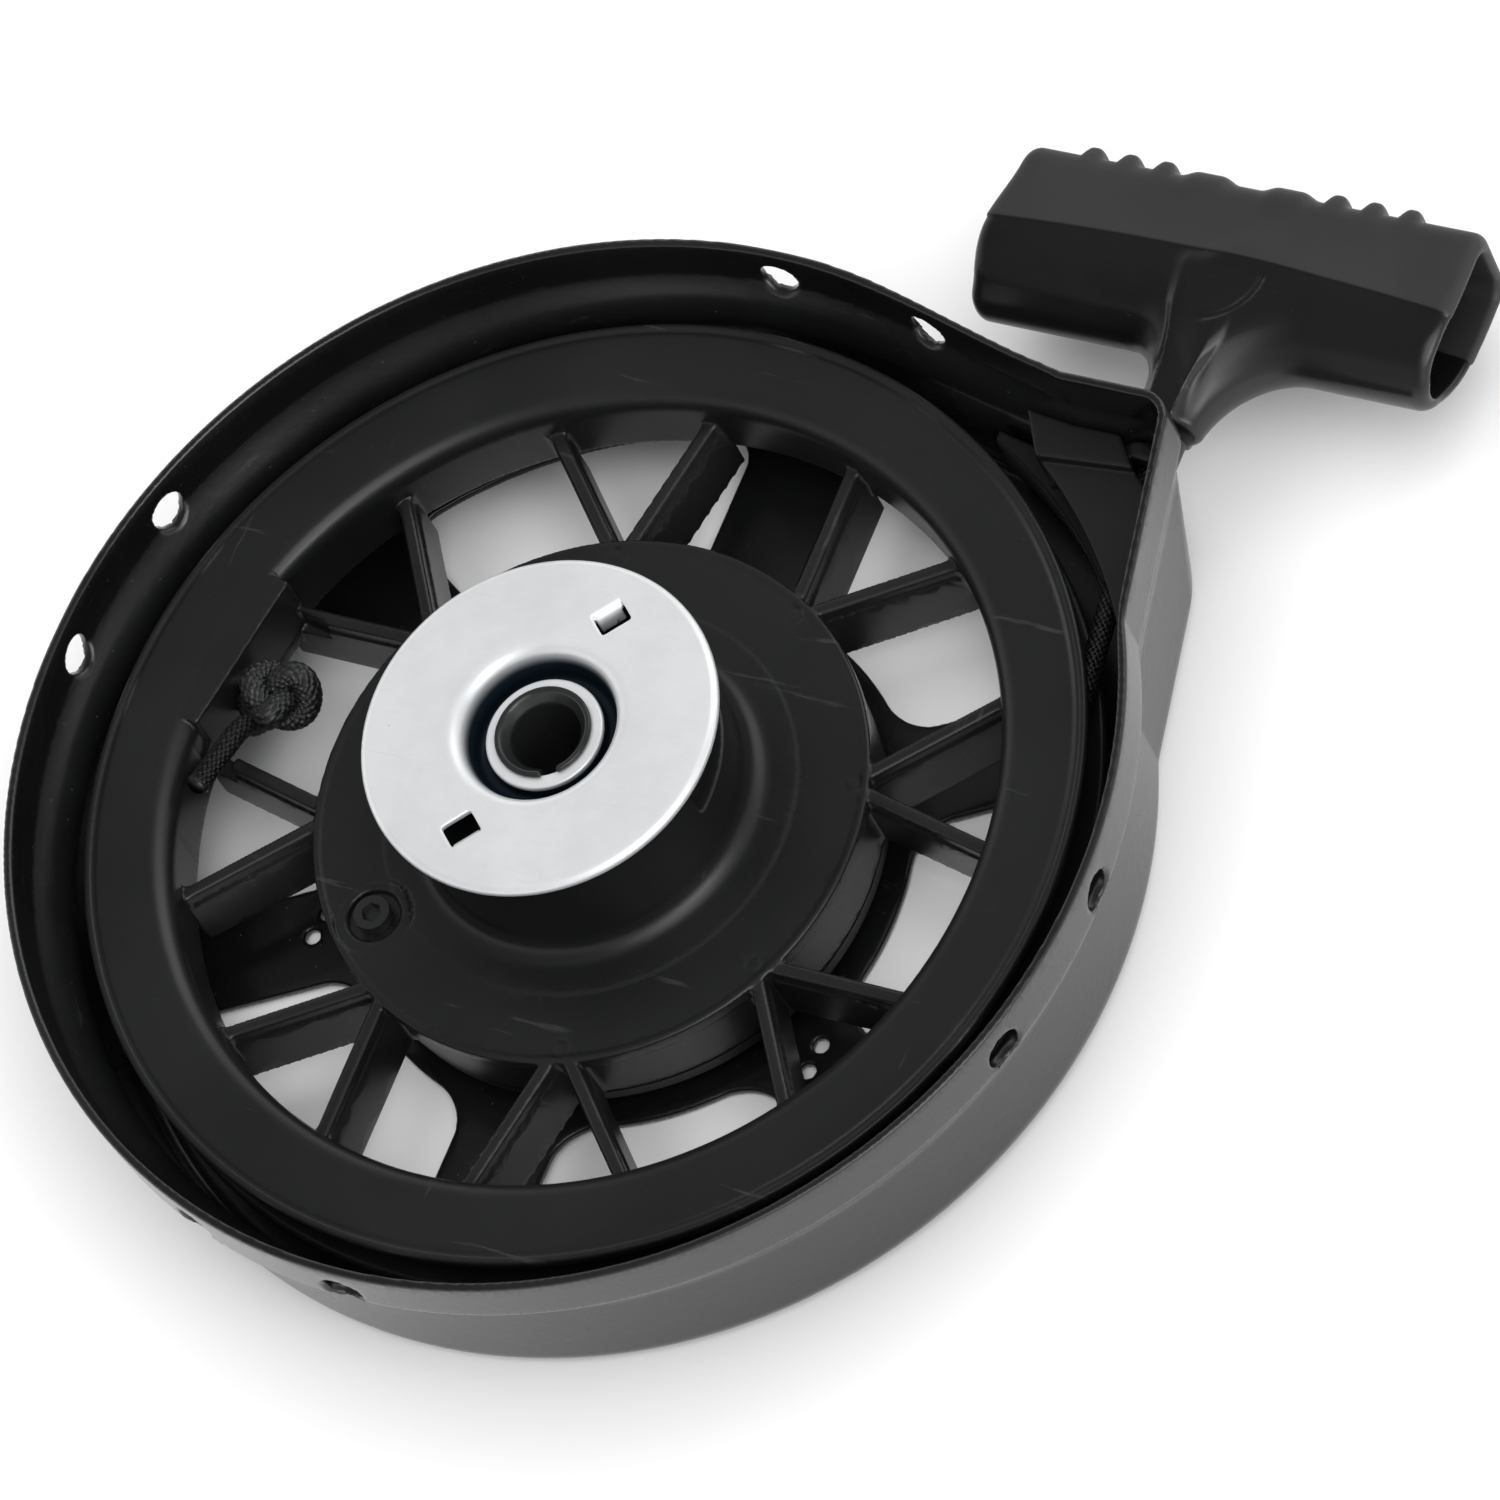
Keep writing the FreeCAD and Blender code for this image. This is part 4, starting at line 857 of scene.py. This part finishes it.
# coil on the drum: two rows, then a second layer over them
coil = []
for radius, height in COIL_ROWS:
    for degrees in range(COIL_START, COIL_START + 360, COIL_STEP):
        angle = math.radians(degrees)
        coil.append((radius * math.cos(angle), radius * math.sin(angle), height))
coil = np.pad(np.array(coil), ((COIL_EASE // 2, COIL_EASE // 2), (0, 0)), mode="edge")
kernel = np.ones(COIL_EASE) / COIL_EASE
coil = np.stack([np.convolve(coil[:, i], kernel, "valid") for i in range(3)], 1)


def packed(along, around):
    """Rope pressed against its neighbours on the drum: a plain round cord."""
    return 1.72 + 0 * along + 0 * around


# With its even radius the wound rope has no crowns, so the rope finish paints all of it in the near-black shade
# of the gaps.
piece(tube_mesh("wound_rope", coil, packed, 12), "rope_fabric", "pulley", "rope_wound")

pull_path = np.stack([[ROPE_X, y, ROPE_Z] for y in np.arange(ROPE_LOW[1], ROPE_HIGH[1] + 0.01, 0.25)])
pull = tube_mesh("pull_rope", pull_path, plaited, 32)
finish(pull, "rope_fabric")
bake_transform(pull)
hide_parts("rope_pull")

KNOT = np.array([-57.0, 3.2, 22.0])
turns = []
for t in np.linspace(math.pi + 0.5, 3 * math.pi - 0.5, 17):
    wide = KNOT_SCALE * (math.sin(t) + 2 * math.sin(2 * t))
    long = KNOT_SCALE * KNOT_STRETCH * (math.cos(t) - 2 * math.cos(2 * t))
    qx, qy = turned_xy(wide, long, 10.0)
    turns.append(tuple(KNOT + np.array([qx, qy, -KNOT_DEPTH * math.sin(3 * t)])))
route = [(-70.0, 7.4, 20.3), (-66.2, 6.4, 20.0), (-62.2, 1.6, 18.2)] + turns
route += [(-58.6, -3.6, 25.6), (-60.0, -10.0, 25.8), (-61.9, -16.4, 25.3)]
knot_path = smooth_path(route, KNOT_SPACING)
knot_run = len(knot_path) * KNOT_SPACING
KNOT_SPAN = (8.0, knot_run - 16.5)


def melted(along, around):
    """The braid, swollen inside the knot and ending in a smooth melted bulb."""
    begin = ramp(along, KNOT_SPAN[0] - 3, KNOT_SPAN[0] + 3)
    swell = 1 + KNOT_SWELL * begin * ramp(-along, -KNOT_SPAN[1] - 2, 3 - KNOT_SPAN[1])
    end = ramp(along, knot_run - 2.2, knot_run - 1.4)
    bulb = 1.9 * np.sqrt(np.clip(1 - ((along - knot_run + 1.5) / 1.52) ** 2, 0.02, 1))
    return plaited(along, around) * swell * (1 - end) + bulb * end


piece(tube_mesh("knotted_rope", knot_path, melted, 60), "rope_fabric", "pulley", "pulley_knot")

lead_end = np.array([ROPE_X, LEAD_END, ROPE_Z])
pitch = COIL_ROWS[-1][0]
bearing = math.atan2(lead_end[1], lead_end[0]) - math.acos(pitch / math.hypot(lead_end[0], lead_end[1]))
touch = np.array([pitch * math.cos(bearing), pitch * math.sin(bearing), ROPE_Z])
way = (lead_end - touch) / np.linalg.norm(lead_end - touch)
length = np.linalg.norm(lead_end - touch)
lead_path = np.array([touch + way * d for d in np.arange(LEAD_START, length - 0.2, 0.22)])
piece(tube_mesh("lead_rope", lead_path, plaited, 48), "rope_fabric", "housing", "rope_lead")

# ------------------------------------------------------------------ rope guide
BLOCK = np.array([(45.0, 78.0), (60.4, 78.0), (65.8, 71.4), (49.7, 70.0)])
SLOT = np.array([(60.4, 90.0), (60.4, 78.0), (65.8, 71.4), (68.5, 69.4), (71.6, 68.4), (90.0, 68.4),
                 (90.0, 90.0)])
FLOOR_LEVELS, BLOCK_LEVELS, PLATE_LEVELS = (4.4, 15.6), (6.0, 26.0), (22.9, 24.2)
FLOOR_RADIUS, COVER_RADIUS = 84.7, 86.0
EYE_RADIUS, COLLAR_RADIUS, EYE_BORE, EYE_START = 3.8, 5.2, 2.2, 73.4


def guide(x, y, z):
    r = np.hypot(x, y)
    room = skirt_plan(x, y, z - 1.2, 1.8)
    fill = np.maximum(common(room, FLOOR_RADIUS - r, 0.4), 18 - y)
    floor_part = common(fill, slab(z, *FLOOR_LEVELS), 0.4)
    block_plan = outline_distance(BLOCK, x, y) + 0 * z
    block = common(np.maximum(block_plan, room), slab(z, *BLOCK_LEVELS), 0.5)
    ledge = np.maximum(y - 70.9 - 0.09 * (x - 57), -outline_distance(SLOT, x, y))
    plate = common(common(np.maximum(room, ledge), COVER_RADIUS - r, 0.5), slab(z, *PLATE_LEVELS), 0.35)
    plate = np.maximum(plate, 30 - y)
    across = np.hypot(x - ROPE_X, z - ROPE_Z)
    eye = common(across - EYE_RADIUS, slab(y, EYE_START, NOSE_REACH + 0.7), 0.4)
    collar = common(across - COLLAR_RADIUS, np.maximum(EYE_START - y, room), 0.4)
    body = np.minimum(np.minimum(floor_part, joined(plate, block, 0.3)), np.minimum(eye, collar))
    bore = np.maximum(across - EYE_BORE, 60 - y)
    return less(body, bore, 0.4)


low, high = corners("rope_guide")
high[0] = RIM
high[1] = NOSE_REACH + 1.2
high[2] = 26.4
piece(surface_of("moulded_guide", low, high, 0.4, guide, 0.5), "guide_plastic", "housing", "rope_guide")

# ------------------------------------------------------- nodes kept as they are
KEPT = {
    "centre_post": "post_steel", "lower_washer": "zinc_plate", "spring_cover": "guide_plastic",
    "cover_screw": "black_oxide", "rewind_spring": "spring_steel", "dog_spring_a": "spring_steel",
    "dog_spring_b": "spring_steel", "brake_spring": "spring_steel", "starter_dog_a": "dog_metal",
    "starter_dog_b": "dog_metal", "handle_insert": "post_steel", "handle_knot": "rope_fabric",
}
for name, slot in KEPT.items():
    finish(nodes[name], slot)

# ------------------------------------------------------------- floor and lights
floor_mesh = bpy.data.meshes.new("floor")
reach = 6.0
floor_corners = [(-reach, -reach, 0), (reach, -reach, 0), (reach, reach, 0), (-reach, reach, 0)]
floor_mesh.from_pydata(floor_corners, [], [(0, 1, 2, 3)])
floor = bpy.data.objects.new("floor", floor_mesh)
floor.location.z = -0.0002
bpy.context.scene.collection.objects.link(floor)
pale = Finish("pale_floor")
floor_mesh.materials.append(pale.done(pale.blend(pale.noise(3), grey(0.86), grey(0.90)), 0.85))

world = bpy.data.worlds.new("studio")
world.use_nodes = True
sky = world.node_tree
background = sky.nodes["Background"]
background.inputs["Color"].default_value = (1.0, 1.0, 1.0, 1.0)
direction = sky.nodes.new("ShaderNodeTexCoord").outputs["Generated"]


def glow(aim, start, end, low, high):
    """Brightness that rises from low to high as a direction nears aim."""
    dot = sky.nodes.new("ShaderNodeVectorMath")
    dot.operation = "DOT_PRODUCT"
    sky.links.new(direction, dot.inputs[0])
    dot.inputs[1].default_value = Vector(aim).normalized()
    shape = sky.nodes.new("ShaderNodeMapRange")
    shape.interpolation_type = "SMOOTHSTEP"
    sky.links.new(dot.outputs["Value"], shape.inputs["Value"])
    limits = {"From Min": start, "From Max": end, "To Min": low, "To Max": high}
    for key, number in limits.items():
        shape.inputs[key].default_value = number
    return shape.outputs["Result"]


def added(a, b):
    """Sum of two brightnesses."""
    total = sky.nodes.new("ShaderNodeMath")
    sky.links.new(a, total.inputs[0])
    sky.links.new(b, total.inputs[1])
    return total.outputs[0]


zenith = glow((0, 0, 1), 0.05, 0.78, 0.95, 0.17)
right_panel = glow((0.62, -0.30, 0.72), 0.86, 0.97, 0.0, 2.2)
back_panel = glow((0.25, 0.75, 0.60), 0.90, 0.985, 0.0, 1.2)
total_glow = added(added(zenith, right_panel), back_panel)
sky.links.new(total_glow, background.inputs["Strength"])
bpy.context.scene.world = world


def softbox(name, place, aim, width, height, power, mirrored=True):
    light = bpy.data.lights.new(name, "AREA")
    light.shape = "RECTANGLE"
    light.size = width
    light.size_y = height
    light.energy = power
    obj = bpy.data.objects.new(name, light)
    obj.location = place
    obj.rotation_mode = "QUATERNION"
    obj.rotation_quaternion = (Vector(aim) - Vector(place)).to_track_quat("-Z", "Y")
    obj.visible_glossy = mirrored
    bpy.context.scene.collection.objects.link(obj)


centre = (0.02, 0.02, 0.02)
softbox("overhead", (0.0, 0.05, 1.4), centre, 2.0, 2.0, 24.0, False)
softbox("side", (1.2, -0.3, 0.75), centre, 0.5, 0.5, 2.0)

# ----------------------------------------------------------------------- camera
BACK_VECTOR = Vector((0.43076, -0.34181, 0.83523)).normalized()
ROLL = math.radians(-33.1)
AIM = Vector((0.02184, 0.01417, 0.0200))
DISTANCE = 1.2207
camera_data = bpy.data.cameras.new("camera")
camera_data.lens = 192
camera_data.sensor_width = 36
camera = bpy.data.objects.new("camera", camera_data)
level = (-BACK_VECTOR).cross(Vector((0, 0, 1))).normalized()
above = level.cross(-BACK_VECTOR)
right = level * math.cos(ROLL) + above * math.sin(ROLL)
upward = right.cross(-BACK_VECTOR)
camera.matrix_world = Matrix((
    (right.x, upward.x, BACK_VECTOR.x, 0), (right.y, upward.y, BACK_VECTOR.y, 0),
    (right.z, upward.z, BACK_VECTOR.z, 0), (0, 0, 0, 1)))
camera.location = AIM + BACK_VECTOR * DISTANCE
bpy.context.scene.collection.objects.link(camera)
bpy.context.scene.camera = camera
bpy.context.scene.view_settings.view_transform = "Standard"
